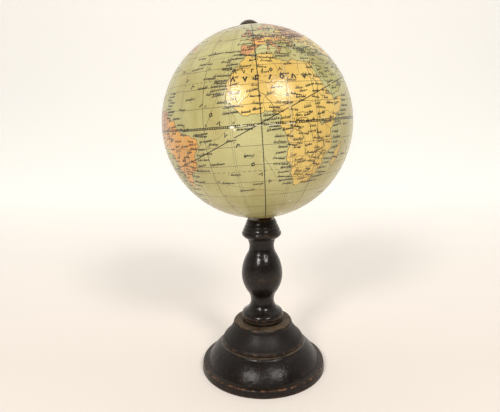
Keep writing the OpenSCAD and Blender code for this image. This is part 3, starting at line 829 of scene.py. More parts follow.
PAPER = paper_finish()
EBONY_COLUMN = ebonised_finish("ebonised column", 0.26, 0.6, 0.12, (1, 1, 9))
EBONY_PLINTH = ebonised_finish("ebonised plinth", 0.23, 0.0, 0.27, (8, 1, 1))
EBONY_TIER = ebonised_finish("ebonised tier", 0.4, 0.0, 0.24, (8, 1, 1))
STEEL = metal_finish("steel", (0.66, 0.65, 0.62), (0.36, 0.30, 0.25), 0.28)
BRASS = metal_finish("brass", (0.80, 0.66, 0.36), (0.45, 0.33, 0.17), 0.26)
# painted shade: brass darkened for the washers and the bush in the narrow gaps at the poles, which lie in
# shade and show no glint
BRASS_DARKENED_AS_SHADE = metal_finish("brass darkened as painted shade", (0.33, 0.26, 0.17), (0.14, 0.11, 0.08), 0.4)
BARE_WOOD = matt_finish("bare wood", (0.76, 0.60, 0.40), (0.56, 0.40, 0.24), 220, (1, 1, 12))
CARD = matt_finish("papier mache", (0.68, 0.60, 0.47), (0.50, 0.43, 0.33), 160)
PLASTER = matt_finish("plaster", (0.91, 0.89, 0.83), (0.80, 0.77, 0.70), 90)

CAD_FINISHES = {
    "column_screw": STEEL, "screw_washer": STEEL, "spindle": STEEL, "pole_tacks": STEEL,
    "support_washer": BRASS_DARKENED_AS_SHADE, "top_washer": BRASS_DARKENED_AS_SHADE, "bush_south": BRASS_DARKENED_AS_SHADE, "bush_north": BRASS,
    "strut": BARE_WOOD, "shell_south": CARD, "shell_north": CARD, "joint_band": CARD,
    "plaster_coat": PLASTER,
}
for node_name, material in CAD_FINISHES.items():
    for material_slot in bpy.data.objects[node_name].material_slots:
        material_slot.material = material


# ---------------------------------------------------------------- paper pieces cut from the print

# sRGB colours of the print
TINT_COLOURS = {
    "sea": (0.73, 0.71, 0.495), "ochre": (0.865, 0.745, 0.41), "orange": (0.87, 0.655, 0.365),
    "pink": (0.78, 0.575, 0.39), "green": (0.68, 0.66, 0.38), "pale": (0.80, 0.71, 0.48),
    "bare": (0.86, 0.81, 0.66), "faint": (0.27, 0.23, 0.15), "ink": (0.09, 0.065, 0.045),
    "chip": (0.93, 0.91, 0.85),
}
# sizes in millimetres: the overlap of two gores, the paper, and how far seams and torn places sink
MARGIN_W = 0.55
PRINT_RADIUS = R_MM - 0.02
SHEET_T = 0.19
SEAM_DROP = 0.025
CHIP_DROP = 0.14
# how far a gore's print may sit off its place, across and along the gore
SLIP_ACROSS = 0.1
SLIP_ALONG = 0.3
# places spread over a gore so that its triangles follow the ball: the rows, and the step in degrees
LATTICE_ROWS = 54
LATTICE_STEP = 3.0
# places nearer than this to a piece's border lie on it
ON_BORDER = 0.03
CIRCLE_STEPS = 72
# vertices nearer than this become one, and no printed face is larger than this in square millimetres
MERGE_GAP = 1e-5
LARGEST_FACE = 8.0
# torn places, each as its middle in degrees and its size in millimetres
CHIP_CORNERS = 11
CHIPS = [
    (6, -0.75, 7.5, 0.45), (14.5, -0.7, 6, 0.5), (-5.5, -0.8, 5, 0.4), (-14.6, -0.35, 3.4, 1.7),
    (-13.4, -1.7, 1.3, 1.2), (34.3, 0.9, 1.1, 0.8), (56, 23.6, 0.9, 2.2), (20.6, -47.5, 1.6, 0.9),
    (-9.7, 0.6, 0.9, 0.5), (-3.9, 1.1, 0.8, 0.5), (101, 12, 2.1, 1.2), (-164, -21, 1.8, 1.1),
    (-79.5, 43, 1.2, 1.8), (-10.2, -0.2, 4.4, 0.35), (-1.2, -0.45, 5.6, 0.38), (3.4, 0.35, 3.2, 0.3),
]


def inside(places, ring):
    """For each place, whether it lies inside a closed ring."""
    result = np.zeros(len(places), dtype=bool)
    x = places[:, 0]
    y = places[:, 1]
    for (x_a, y_a), (x_b, y_b) in zip(ring, np.roll(ring, -1, axis=0)):
        if y_a == y_b:
            continue
        spans = (y_a > y) != (y_b > y)
        result ^= spans & (x < x_a + (y - y_a) / (y_b - y_a) * (x_b - x_a))
    return result


def copies_near(points, mid_lon, reach):
    """The same points moved by whole turns, wherever they come within reach of a longitude."""
    lons = [place[0] for place in points]
    for turn in (-360, 0, 360):
        if min(lons) + turn < mid_lon + reach and max(lons) + turn > mid_lon - reach:
            yield [(lon + turn, lat) for lon, lat in points]


SOUTH_CAP = wander_open(ANTARCTICA) + [(180, -90), (-180, -90)]
WANDERED = [wander(ring, 0.17) for ring in COASTS] + [SOUTH_CAP]
WANDERED_LAKES = [wander(ring, 0.17) for ring in LAKES]


class Layout:
    """Vertices, edges and faces collected for one constrained triangulation."""

    def __init__(self):
        self.places = []
        self.edges = []
        self.faces = []
        self.kinds = []

    def add_face(self, corners, kind):
        first = len(self.places)
        self.places += [tuple(corner) for corner in corners]
        self.faces.append(list(range(first, first + len(corners))))
        self.kinds.append(kind)

    def add_way(self, places, closed):
        first = len(self.places)
        count = len(places)
        self.places += [tuple(place) for place in places]
        self.edges += [(first + i, first + i + 1) for i in range(count - 1)]
        if closed:
            self.edges.append((first + count - 1, first))

    def cut(self):
        """Triangles of the layout, each with the highest kind of the faces it lies in.

        A face that is barely more than a line can come back as covering the whole sheet. It is
        told by the area that it claims, and left out."""
        whole_hull = 0
        places, _, triangles, _, _, origins = delaunay_2d_cdt(
            [Vector(place) for place in self.places], self.edges, self.faces, whole_hull, MERGE_GAP, True
        )
        places = np.array([tuple(place) for place in places])
        triangles = np.array(triangles)
        sides = places[triangles[:, 1:]] - places[triangles[:, :1]]
        areas = np.abs(sides[:, 0, 0] * sides[:, 1, 1] - sides[:, 0, 1] * sides[:, 1, 0]) / 2
        claimed = [0.0] * len(self.faces)
        for area, origin in zip(areas.tolist(), origins):
            for face in origin:
                claimed[face] += area
        kinds = []
        for origin in origins:
            found = [self.kinds[face] for face in origin if claimed[face] < LARGEST_FACE]
            kinds.append(max(found, default=PLAIN))
        return places, triangles, np.array(kinds)


def chip_ring(chip, shrink):
    """Ragged outline of a torn place, in degrees."""
    lon, lat, wide, high = chip
    rng = random.Random(f"{SEED} {chip}")
    ring = []
    for i in range(CHIP_CORNERS):
        angle = math.tau * i / CHIP_CORNERS
        size = shrink * rng.uniform(0.62, 1.1) / 2
        ring.append((
            lon + math.degrees(wide * size * math.cos(angle) / R_MM) / math.cos(math.radians(lat)),
            lat + math.degrees(high * size * math.sin(angle) / R_MM),
        ))
    return ring


class GoreNet:
    """Flat shape of one gore: a strip 30 degrees wide from calotte to calotte."""

    def __init__(self, mid_lon):
        self.mid_lon = mid_lon
        self.edge = GORE_ANGLE / 2
        rng = random.Random(f"{SEED} {mid_lon}")
        across = rng.uniform(-SLIP_ACROSS, SLIP_ACROSS)
        self.slip = np.array((across, rng.uniform(-SLIP_ALONG, SLIP_ALONG)))
        side = [(mid_lon + self.edge, lat) for lat in range(-CALOTTE_LAT, CALOTTE_LAT, 2)]
        top = [(mid_lon + self.edge - lon, CALOTTE_LAT) for lon in range(0, int(GORE_ANGLE), 5)]
        other = [(2 * mid_lon - lon, -lat) for lon, lat in side]
        bottom = [(2 * mid_lon - lon, -lat) for lon, lat in top]
        self.border = self.flatten(side + top + other + bottom)
        self.holes = []
        inset = 1 - MARGIN_W / np.maximum(np.abs(self.border[:, 0]), 1)
        self.margin_line = self.border * np.column_stack((inset, np.ones(len(inset))))
        lattice = []
        for row in range(1, LATTICE_ROWS):
            lat = -CALOTTE_LAT + row * 2 * CALOTTE_LAT / LATTICE_ROWS
            count = max(2, round(GORE_ANGLE * math.cos(math.radians(lat)) / LATTICE_STEP))
            lattice += [(mid_lon - self.edge + GORE_ANGLE * i / count, lat) for i in range(1, count)]
        self.lattice = self.flatten(lattice)

    def flatten(self, points):
        return flat(points, self.mid_lon)

    def to_degrees(self, places):
        return unflat(places, self.mid_lon)

    def near(self, points):
        return copies_near(points, self.mid_lon, self.edge + 1)

    def on_border(self, degrees):
        close = ON_BORDER / np.cos(np.radians(degrees[:, 1]))
        return np.abs(np.abs(degrees[:, 0] - self.mid_lon) - self.edge) < close


class CalotteNet:
    """Flat shape of the round piece at a pole, with a hole for the bush off its middle."""

    def __init__(self, pole, hole_r):
        self.pole = pole
        self.slip = np.zeros(2)
        self.edge_r = R_MM * math.radians(90 - CALOTTE_LAT)
        spindle = self.flatten(self.pole_degrees(pole * SPINDLE_AXIS))
        around = [math.tau * i / CIRCLE_STEPS for i in range(CIRCLE_STEPS)]
        circle = np.array([(math.cos(angle), math.sin(angle)) for angle in around])
        self.border = circle * self.edge_r
        self.holes = [spindle[0] + circle * hole_r]
        self.margin_line = circle * (self.edge_r - MARGIN_W)
        rings = [(r, angle) for r in (5.9, 8.2) for angle in around[::3]]
        self.lattice = np.array([(r * math.cos(angle), r * math.sin(angle)) for r, angle in rings])

    def pole_degrees(self, direction):
        local = AXES @ np.array(direction)
        lat = math.degrees(math.asin(local[2]))
        return [(math.degrees(math.atan2(local[1], local[0])), lat)]

    def flatten(self, points):
        points = np.asarray(points, dtype=float)
        lon = np.radians(points[:, 0])
        r = R_MM * np.radians(90 - self.pole * points[:, 1])
        return np.column_stack((r * np.cos(lon), self.pole * r * np.sin(lon)))

    def to_degrees(self, places):
        lat = 90 - np.degrees(np.linalg.norm(places, axis=1) / R_MM)
        lon = np.degrees(np.arctan2(self.pole * places[:, 1], places[:, 0]))
        return np.column_stack((lon, self.pole * lat))

    def near(self, points):
        if max(self.pole * place[1] for place in points) > CALOTTE_LAT - 1:
            yield points

    def on_border(self, degrees):
        return np.abs(self.pole * degrees[:, 1] - CALOTTE_LAT) < ON_BORDER


def paper_layout(net, sheet):
    """Everything that cuts the flat piece into triangles: coasts, tints, print, margins and tears.

    What is printed sits a little off its place, by the net's slip, as gores never register exactly."""
    layout = Layout()
    for ring in [net.border] + net.holes:
        layout.add_way(ring, True)
    layout.places += [tuple(place) for place in net.lattice]
    low = net.border.min(axis=0) - 1.5
    high = net.border.max(axis=0) + 1.5

    def close(corners):
        corners = np.asarray(corners)
        return (corners.max(axis=0) > low).all() and (corners.min(axis=0) < high).all()

    def add_edges(ring):
        for start, end in zip(ring, np.roll(ring, -1, axis=0)):
            if close((start, end)):
                layout.add_way((start, end), False)

    def add_ribbon(places, width, kind, closed):
        for quad in ribbon(places, width, closed):
            if close(quad):
                layout.add_face(quad, kind)

    land = []
    for points in WANDERED + WANDERED_LAKES:
        for copy in net.near(points):
            ring = net.flatten(copy) + net.slip
            add_edges(ring)
            land.append(ring)
            # the southern land is closed along the pole, where it has no coast
            coast = [place for place in copy if place[1] > -89]
            add_ribbon(net.flatten(coast) + net.slip, COAST_W, INK, len(coast) == len(copy))
    tints = []
    for name, blocks in TINTS.items():
        for points in blocks:
            for copy in net.near(points):
                ring = net.flatten(dense(copy, 2, True)) + net.slip
                add_edges(ring)
                tints.append((name, ring))
    for points, width, kind in sheet.lines:
        for copy in net.near(points):
            add_ribbon(net.flatten(dense(copy, 2.5)) + net.slip, width, kind, False)
    # a calotte has a margin all round, and a gore along its sides but not along its ends
    gore_end = R_MM * math.radians(CALOTTE_LAT)
    following = np.roll(np.arange(len(net.border)), -1)
    for i, j in enumerate(following):
        strip = (net.border[i], net.border[j], net.margin_line[j], net.margin_line[i])
        if abs(net.border[i][1]) + abs(net.border[j][1]) < 1.98 * gore_end:
            layout.add_face(strip, MARGIN)
            add_ribbon(np.array(strip[2:]), MARGIN_LINE_W, FAINT, False)
    for chip in CHIPS:
        for copy in net.near(chip_ring(chip, 1)):
            layout.add_face(net.flatten(copy), CHIP)
        for copy in net.near(chip_ring(chip, 0.8)):
            layout.add_way(net.flatten(copy), True)
    return layout, land, tints


def boundary_loops(triangles):
    """Closed loops of vertices around a set of triangles, each in the triangles' own direction."""
    edges = {(a, b) for tri in triangles.tolist() for a, b in zip(tri, tri[1:] + tri[:1])}
    following = {}
    for a, b in edges:
        if (b, a) not in edges:
            following.setdefault(a, []).append(b)
    loops = []
    while following:
        start = min(following)
        loop = [start]
        here = following[start].pop()
        while here != start:
            loop.append(here)
            here = following[here].pop()
        loops.append(loop)
        following = {vertex: ends for vertex, ends in following.items() if ends}
    return loops


def print_colours(middles, kinds, land, tints):
    """Linear colours of the printed triangles with these middles and kinds."""
    is_land = np.zeros(len(middles), dtype=bool)
    for ring in land:
        is_land ^= inside(middles, ring)
    colours = np.tile(linear(TINT_COLOURS["sea"]), (len(middles), 1))
    colours[is_land] = linear(TINT_COLOURS["ochre"])
    for tint, ring in tints:
        colours[is_land & inside(middles, ring)] = linear(TINT_COLOURS[tint])
    # the overlap of two gores has lost its tint on land, and hardly any of it at sea
    for loss, rubbed in ((0.4, is_land), (0.08, ~is_land)):
        chosen = rubbed & (kinds == MARGIN)
        colours[chosen] = (1 - loss) * colours[chosen] + loss * np.array(linear(TINT_COLOURS["bare"]))
    for kind, tint in ((FAINT, "faint"), (INK, "ink"), (CHIP, "chip")):
        colours[kinds == kind] = linear(TINT_COLOURS[tint])
    return colours


def print_radius(net, places, degrees):
    """How far each place of the print is from the globe's centre, in millimetres."""
    radius = np.full(len(places), PRINT_RADIUS)
    radius[net.on_border(degrees)] -= SEAM_DROP
    for chip in CHIPS:
        for copy in net.near(chip_ring(chip, 0.85)):
            radius[inside(places, net.flatten(copy))] -= CHIP_DROP
    return radius


def paper_back(net, places, loops):
    """Places and triangles of the back of the paper, cut from the print's outline without the print."""
    back = Layout()
    for loop in loops:
        back.add_way(places[loop], True)
    back.places += [tuple(place) for place in net.lattice]
    back_places, triangles, _ = back.cut()
    middles = back_places[triangles].mean(axis=1)
    in_paper = np.zeros(len(middles), dtype=bool)
    for loop in loops:
        in_paper ^= inside(middles, places[loop])
    return back_places, triangles[in_paper]


def paper_walls(places, back_places, loops):
    """Faces round the paper's edges, with the vertices of the back numbered after the print's."""
    first = len(places)
    walls = []
    for loop in loops:
        gaps = np.linalg.norm(back_places[None, :, :] - places[loop][:, None, :], axis=2)
        below = (first + gaps.argmin(axis=1)).tolist()
        for i, vertex in enumerate(loop):
            j = (i + 1) % len(loop)
            wall = [loop[j], vertex, below[i], below[j]]
            walls.append(wall if below[i] != below[j] else wall[:3])
    return walls


def finish_paper(mesh, verts, faces, smooth, colours):
    """Colours the first faces, which are the print, and shades the smooth ones round and all others flat."""
    unprinted = len(faces) - len(colours)
    sizes = np.array([len(face) for face in faces])
    mesh.polygons.foreach_set("use_smooth", np.ones(len(faces), dtype=bool))
    facets = np.zeros(len(faces) * 3)
    mesh.polygons.foreach_get("normal", facets)
    normals = np.repeat(facets.reshape(-1, 3), sizes, axis=0)
    corners = np.array([vertex for face in faces for vertex in face])
    radial = verts - np.array(GLOBE_CENTRE)
    radial /= np.linalg.norm(radial, axis=1)[:, None]
    of_smooth = np.repeat(np.concatenate((smooth, np.zeros(unprinted, dtype=bool))), sizes)
    normals[of_smooth] = radial[corners[of_smooth]]
    paint = mesh.color_attributes.new("print", "FLOAT_COLOR", "CORNER")
    bare = np.tile(linear(TINT_COLOURS["bare"]), (unprinted, 1))
    paint.data.foreach_set("color", np.repeat(np.concatenate((colours, bare)), sizes, axis=0).ravel())
    mesh.normals_split_custom_set(normals.tolist())
    mesh.materials.append(PAPER)


def paper_piece(name, node, net, sheet):
    """One pasted piece of the map as a thin closed sheet, coloured triangle by triangle."""
    layout, land, tints = paper_layout(net, sheet)
    places, triangles, kinds = layout.cut()
    middles = places[triangles].mean(axis=1)
    kept = inside(middles, net.border)
    for hole in net.holes:
        kept &= ~inside(middles, hole)
    kinds = kinds[kept]
    colours = print_colours(middles[kept], kinds, land, tints)

    used, triangles = np.unique(triangles[kept], return_inverse=True)
    triangles = triangles.reshape(-1, 3)
    places = places[used]
    loops = boundary_loops(triangles)
    back_places, back_triangles = paper_back(net, places, loops)
    degrees = net.to_degrees(places)
    back_degrees = net.to_degrees(back_places)
    outer = on_globe(degrees[:, 0], degrees[:, 1], print_radius(net, places, degrees) * MM)
    inner = on_globe(back_degrees[:, 0], back_degrees[:, 1], (PRINT_RADIUS - SHEET_T) * MM)

    verts = np.concatenate((outer, inner))
    back_faces = back_triangles[:, ::-1] + len(places)
    faces = triangles.tolist() + paper_walls(places, back_places, loops) + back_faces.tolist()
    mesh = bpy.data.meshes.new(name)
    mesh.from_pydata(verts.tolist(), [], faces)
    finish_paper(mesh, verts, faces, kinds != MARGIN, colours)

    piece = bpy.data.objects.new(name, mesh)
    bpy.context.scene.collection.objects.link(piece)
    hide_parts(node)
    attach(piece, "globe")


PRINT = whole_print()
BUSH_FLANGE_R = 4.5
for number in range(1, GORE_COUNT + 1):
    middle = (number - 1) * GORE_ANGLE
    middle = middle if middle <= 180 else middle - 360
    paper_piece(f"map_gore_{number:02d}", f"gore_{number:02d}", GoreNet(middle), PRINT)
paper_piece("map_calotte_south", "calotte_south", CalotteNet(-1, BUSH_FLANGE_R), PRINT)
paper_piece("map_calotte_north", "calotte_north", CalotteNet(1, BUSH_FLANGE_R), PRINT)


# ---------------------------------------------------------------- turned wooden pieces

# heights above the table and radii, in millimetres
STAND_H = 104.6
BASE_R = 42.5
FLANGE_H = 5.0
LOWER_H = 19.0
FILLET_R = 28.4
BASE_H = 33.5
LEDGE_R = 19.5
FOOT_R = 14.2
LOWER_NECK_R = 7.9
VASE_R = 13.8
UPPER_NECK_R = 8.3
CUP_R = 13.2
CUP_TOP_R = 8.9
COLUMN_H = STAND_H - BASE_H
FOOT_Z = BASE_H + 0.057 * COLUMN_H
LOWER_NECK_Z = BASE_H + 0.203 * COLUMN_H
VASE_Z = BASE_H + 0.462 * COLUMN_H
UPPER_NECK_Z = BASE_H + 0.74 * COLUMN_H
# bores and seats inside the pieces
RECESS_R = 8.0
RECESS_H = 5.0
SCREW_CLEAR_R = 2.2
SCREW_R = 1.9
SCREW_TIP_Z = 47.5
SPIGOT_R = 9.0
SPIGOT_L = 7.0
TENON_R = 6.0
TENON_L = 10.0
SPINDLE_R = 1.5
SPINDLE_DEPTH = 32.0
WASHER_R = 4.5
SEAT_DEPTH = 0.4
# the finial's heights are above the middle of the ball, along the spindle
FINIAL_R = 6.1
FINIAL_H = 3.5
FINIAL_RIM = 60.05
TOP_WASHER_SEAT = 60.83
SPINDLE_TOP = 62.03
LEAN = math.atan2(-SPINDLE_AXIS.x, SPINDLE_AXIS.z)
SPINDLE_OFFSET = SPIN["pos_m"][0] / MM


def bow(p, q, rise, steps):
    """An arc from p to q, without q itself, that bulges by rise to the right of the way there."""
    p, q = Vector(p), Vector(q)
    way = (q - p).normalized()
    side = Vector((way.y, -way.x))
    half_angle = 2 * math.atan(2 * rise / (q - p).length)
    radius = (q - p).length / 2 / math.sin(half_angle)
    centre = (p + q) / 2 + side * (rise - radius)
    turns = [half_angle * (2 * i / steps - 1) for i in range(steps)]
    return [tuple(centre + radius * (math.cos(t) * side + math.sin(t) * way)) for t in turns]


def ogee(p, q, share):
    """An S-curve from p to q, upright at both ends, that turns over at a share of the way."""
    middle = (p[0] + share * (q[0] - p[0]), p[1] + share * (q[1] - p[1]))
    bulge = math.tan(math.atan((q[0] - p[0]) / (q[1] - p[1])) / 2) / 2
    lower = bow(p, middle, -bulge * math.dist(p, middle), 22)
    return lower + bow(middle, q, bulge * math.dist(middle, q), 22)


PLINTH = (
    [(BASE_R - 0.25, 0)]
    + bow((BASE_R, 0.3), (BASE_R - 0.5, FLANGE_H - 0.7), 0.1, 10)
    + bow((BASE_R - 0.5, FLANGE_H - 0.7), (BASE_R - 1.2, FLANGE_H), 0.2, 8)
    + [(BASE_R - 1.2, FLANGE_H), (BASE_R - 2.4, FLANGE_H + 0.08), (BASE_R - 3.5, FLANGE_H + 0.12)]
    + bow((BASE_R - 4.2, FLANGE_H + 0.4), (FILLET_R + 1.5, LOWER_H - 2.4), 0.9, 36)
    + bow((FILLET_R + 1.5, LOWER_H - 2.4), (FILLET_R, LOWER_H - 0.7), -0.25, 8)
    + [(FILLET_R, LOWER_H - 0.7), (FILLET_R, LOWER_H - 0.15), (FILLET_R - 0.2, LOWER_H)]
    + [(SPIGOT_R, LOWER_H), (SPIGOT_R, LOWER_H - SPIGOT_L), (SCREW_CLEAR_R, LOWER_H - SPIGOT_L)]
    + [(SCREW_CLEAR_R, RECESS_H), (RECESS_R, RECESS_H), (RECESS_R, 0)]
)
TIER = (
    [(SCREW_CLEAR_R, LOWER_H - SPIGOT_L), (SPIGOT_R, LOWER_H - SPIGOT_L), (SPIGOT_R, LOWER_H)]
    + bow((FILLET_R - 0.8, LOWER_H), (FILLET_R - 1.8, LOWER_H + 3), 0.45, 12)
    + bow((FILLET_R - 1.8, LOWER_H + 3), (LEDGE_R + 0.7, BASE_H - 2.7), -0.6, 24)
    + bow((LEDGE_R + 0.7, BASE_H - 2.7), (LEDGE_R - 0.3, BASE_H), 0.3, 12)
    + [(LEDGE_R - 0.3, BASE_H), (TENON_R, BASE_H), (TENON_R, BASE_H - TENON_L)]
    + [(SCREW_CLEAR_R, BASE_H - TENON_L)]
)
CUP = (
    bow((UPPER_NECK_R, UPPER_NECK_Z), (UPPER_NECK_R + 0.9, STAND_H - 14.5), -0.2, 16)
    + [(UPPER_NECK_R + 0.9, STAND_H - 14.5), (UPPER_NECK_R + 0.9, STAND_H - 13.8)]
    + bow((UPPER_NECK_R + 0.7, STAND_H - 13.8), (CUP_R - 0.6, STAND_H - 11.4), 0.3, 10)
    + bow((CUP_R - 0.6, STAND_H - 11.4), (CUP_R - 0.6, STAND_H - 8.4), 0.6, 18)
    + bow((CUP_R - 0.85, STAND_H - 8.3), (CUP_R - 1.6, STAND_H - 6), 0.2, 10)
    + bow((CUP_R - 1.85, STAND_H - 5.9), (CUP_R - 2.5, STAND_H - 4), 0.25, 10)
    + bow((CUP_R - 2.7, STAND_H - 3.9), (CUP_TOP_R, STAND_H), 0.3, 12)
    + [(CUP_TOP_R, STAND_H)]
)
COLUMN = (
    [(0, SCREW_TIP_Z), (SCREW_R, SCREW_TIP_Z), (SCREW_R, BASE_H - TENON_L)]
    + [(TENON_R, BASE_H - TENON_L), (TENON_R, BASE_H), (FOOT_R - 0.2, BASE_H)]
    + [(FOOT_R - 0.2, BASE_H + 1), (FOOT_R - 0.2, BASE_H + 2)]
    + [(FOOT_R - 0.55, BASE_H + 2.1), (FOOT_R - 0.55, BASE_H + 2.4)]
    + bow((FOOT_R - 0.4, BASE_H + 2.5), (FOOT_R, FOOT_Z), 0.1, 8)
    + ogee((FOOT_R, FOOT_Z), (LOWER_NECK_R, LOWER_NECK_Z), 0.3)
    + ogee((LOWER_NECK_R, LOWER_NECK_Z), (VASE_R, VASE_Z), 0.35)
    + ogee((VASE_R, VASE_Z), (UPPER_NECK_R, UPPER_NECK_Z), 0.73)
    + CUP
)
SPINDLE_BORE = [
    (WASHER_R, STAND_H), (WASHER_R, STAND_H - SEAT_DEPTH), (SPINDLE_R, STAND_H - SEAT_DEPTH),
    (SPINDLE_R, STAND_H - SPINDLE_DEPTH), (0, STAND_H - SPINDLE_DEPTH),
]
FINIAL = (
    [(0, SPINDLE_TOP), (SPINDLE_R, SPINDLE_TOP), (SPINDLE_R, TOP_WASHER_SEAT)]
    + [(WASHER_R + 0.3, TOP_WASHER_SEAT), (WASHER_R + 0.3, FINIAL_RIM)]
    + bow((FINIAL_R - 0.4, FINIAL_RIM), (FINIAL_R - 0.3, FINIAL_RIM + 0.9), 0.35, 10)
    + bow((FINIAL_R - 0.3, FINIAL_RIM + 0.9), (0.05, FINIAL_RIM + FINIAL_H), 0.68, 22)
    + [(0, FINIAL_RIM + FINIAL_H)]
)


def patch(point, scale, low, high, salt=0.0):
    """Irregular patches between 0 and 1, about 1 / scale millimetres across."""
    value = noise.fractal(point * scale + Vector((salt, salt, salt)), 0.9, 2.0, 4)
    return min(1.0, max(0.0, (value - low) / (high - low)))


def near_ring(point, r, z, spread):
    """1 on a circle of radius r at height z, falling to 0 at spread millimetres away."""
    off = math.hypot(math.hypot(point.x, point.y) - r, point.z - z)
    return max(0.0, 1 - off / spread)


def turned_piece(name, profile, segments, wear_and_highlight, dust, chip, material, slanted=()):
    """A closed piece turned from a profile in millimetres, with worn and dusty places as attributes.

    The slanted part of the profile follows the spindle's bore. A profile that neither starts nor
    ends on the axis closes on itself."""
    rings = [(r, z, 0.0) for r, z in profile]
    rings += [(r, z, SPINDLE_OFFSET + (STAND_H - z) * math.tan(LEAN)) for r, z in slanted]
    verts = []
    where = []
    for r, z, shift in rings:
        first = len(verts)
        if r == 0:
            where.append([first] * segments)
            verts.append(Vector((shift, 0, z)))
            continue
        where.append(list(range(first, first + segments)))
        for i in range(segments):
            angle = math.tau * i / segments
            outwards = Vector((math.cos(angle), math.sin(angle), 0))
            point = Vector((shift, 0, z)) + r * outwards
            verts.append(point - chip(point) * outwards)
    faces = []
    closed = rings[0][0] != 0
    for k in range(len(rings) if closed else len(rings) - 1):
        low = where[k]
        high = where[(k + 1) % len(rings)]
        for i in range(segments):
            j = (i + 1) % segments
            corners = [low[i], low[j], high[j], high[i]]
            faces.append([corner for n, corner in enumerate(corners) if corner != corners[n - 1]])
    mesh = bpy.data.meshes.new(name)
    mesh.from_pydata([vert * MM for vert in verts], [], faces)
    for label, measure in (("wear_and_highlight", wear_and_highlight), ("dust", dust)):
        layer = mesh.attributes.new(label, "FLOAT", "POINT")
        layer.data.foreach_set("value", [min(1.0, measure(vert)) for vert in verts])
    mesh.polygons.foreach_set("use_smooth", [True] * len(faces))
    mesh.set_sharp_from_angle(angle=math.radians(38))
    mesh.materials.append(material)
    piece = bpy.data.objects.new(name, mesh)
    bpy.context.scene.collection.objects.link(piece)
    return piece


def no_chip(point):
    return 0.0


def plinth_wear(point):
    """The foot is rubbed along its upper edge, most of all at the front right, the side towards the right
    lamp: that brighter edge line is partly a painted highlight.
    """
    angle = math.atan2(point.y, point.x)
    # 1 on the side towards the right lamp, where the edge line is brightest: that share of it is painted
    # highlight
    lit_side = 0.5 + 0.5 * math.cos(angle - math.radians(-62))
    rim = near_ring(point, BASE_R - 0.9, FLANGE_H - 0.1, 0.8)
    foot = near_ring(point, BASE_R, 0.2, 1.2) * 0.3
    scuffs = 0.07 * patch(point, 0.25, 0.35, 0.8, 3)
    return rim * (0.15 + 0.75 * lit_side) * patch(point, 0.3, -0.4, 0.5) + foot + scuffs


def plinth_dust(point):
    crease = near_ring(point, BASE_R - 3.6, FLANGE_H + 0.2, 0.8) * 0.15
    fillet = near_ring(point, FILLET_R + 0.1, LOWER_H, 1.0) * patch(point, 0.2, -0.9, 0.3, 7)
    underside = 0.7 if point.z < 0.1 else 0.0
    return crease + fillet + underside + 0.03 * patch(point, 0.08, -0.4, 0.6, 11)


def plinth_chip(point):
    return near_ring(point, BASE_R - 0.8, FLANGE_H, 1.2) * 0.55 * patch(point, 0.35, 0.25, 0.6, 5)


def tier_wear(point):
    shoulder = near_ring(point, FILLET_R - 1, LOWER_H + 1.4, 1.3) * 0.35
    ledge = near_ring(point, LEDGE_R - 0.1, BASE_H - 0.3, 0.9) * 0.6
    return (shoulder + ledge) * patch(point, 0.3, -0.3, 0.5, 2) + 0.05 * patch(point, 0.3, 0.4, 0.8, 4)


def tier_dust(point):
    top = 0.35 + 0.5 * near_ring(point, LEDGE_R - 0.3, BASE_H, 2.2) if point.z > BASE_H - 0.05 else 0.0
    return top * patch(point, 0.15, -0.9, 0.2, 9) + 0.03 * patch(point, 0.1, -0.4, 0.6, 1)


def tier_chip(point):
    return near_ring(point, LEDGE_R, BASE_H, 1.0) * 0.35 * patch(point, 0.5, 0.3, 0.6, 8)


def column_wear(point):
    lip = near_ring(point, CUP_R, STAND_H - 9.9, 1.4) * 0.12
    vase = near_ring(point, VASE_R, VASE_Z, 2.5) * 0.12
    foot = near_ring(point, FOOT_R, FOOT_Z, 1.6) * 0.3
    return (lip + vase + foot) * patch(point, 0.35, -0.4, 0.5, 6)


def column_dust(point):
    step = near_ring(point, FOOT_R - 0.45, BASE_H + 2.25, 0.5) * 0.7
    top = 0.8 if point.z > STAND_H - 0.01 else 0.0
    cup_step = near_ring(point, UPPER_NECK_R + 0.9, STAND_H - 14, 0.7) * 0.3
    return step + top + cup_step + 0.06 * patch(point, 0.15, -0.1, 0.6, 12)


def finial_wear(point):
    return 0.1 + 0.15 * patch(point, 0.5, 0.1, 0.6, 13)


def finial_dust(point):
    return 0.1 * patch(point, 0.4, -0.2, 0.6, 14)


base_plinth = turned_piece(
    "turned_plinth", PLINTH, 288, plinth_wear, plinth_dust, plinth_chip, EBONY_PLINTH
)
base_tier = turned_piece(
    "turned_tier", TIER, 224, tier_wear, tier_dust, tier_chip, EBONY_TIER
)
column = turned_piece(
    "turned_column", COLUMN, 160, column_wear, column_dust, no_chip, EBONY_COLUMN, SPINDLE_BORE
)
finial = turned_piece(
    "turned_finial", FINIAL, 96, finial_wear, finial_dust, no_chip, EBONY_COLUMN
)
finial.data.transform(Matrix.Translation(GLOBE_CENTRE) @ Matrix.Rotation(-LEAN, 4, "Y"))
for piece, replaced in (
    (base_plinth, "base_plinth"), (base_tier, "base_tier"), (column, "column"), (finial, "finial")
):
    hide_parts(replaced)
    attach(piece, "stand")


# ---------------------------------------------------------------- floor, lights and camera

# sRGB colours of the floor around the object and of the backdrop; the paler tone behind the object is
# painted light, for a backdrop that is more brightly lit
FLOOR_FRONT = (0.85, 0.812, 0.782)
FLOOR_BACK = (0.968, 0.958, 0.94)
# the sweep gives off a little light of its own, more behind the object and far in front of it
GLOW_FRONT = 0.19
GLOW_BACK = 0.38
# places along y, in metres, between which the floor's tone and glow change
BEHIND_FROM = 0.0
BEHIND_TO = 0.75
AHEAD_FROM = -2.2
AHEAD_TO = -0.9
# strength of the room's light from the front and from behind
ROOM_FRONT = 0.12
ROOM_BACK = 1.1
LAMP_DISTANCE = 1.5
LAMP_COLOUR = (1.0, 0.97, 0.92)


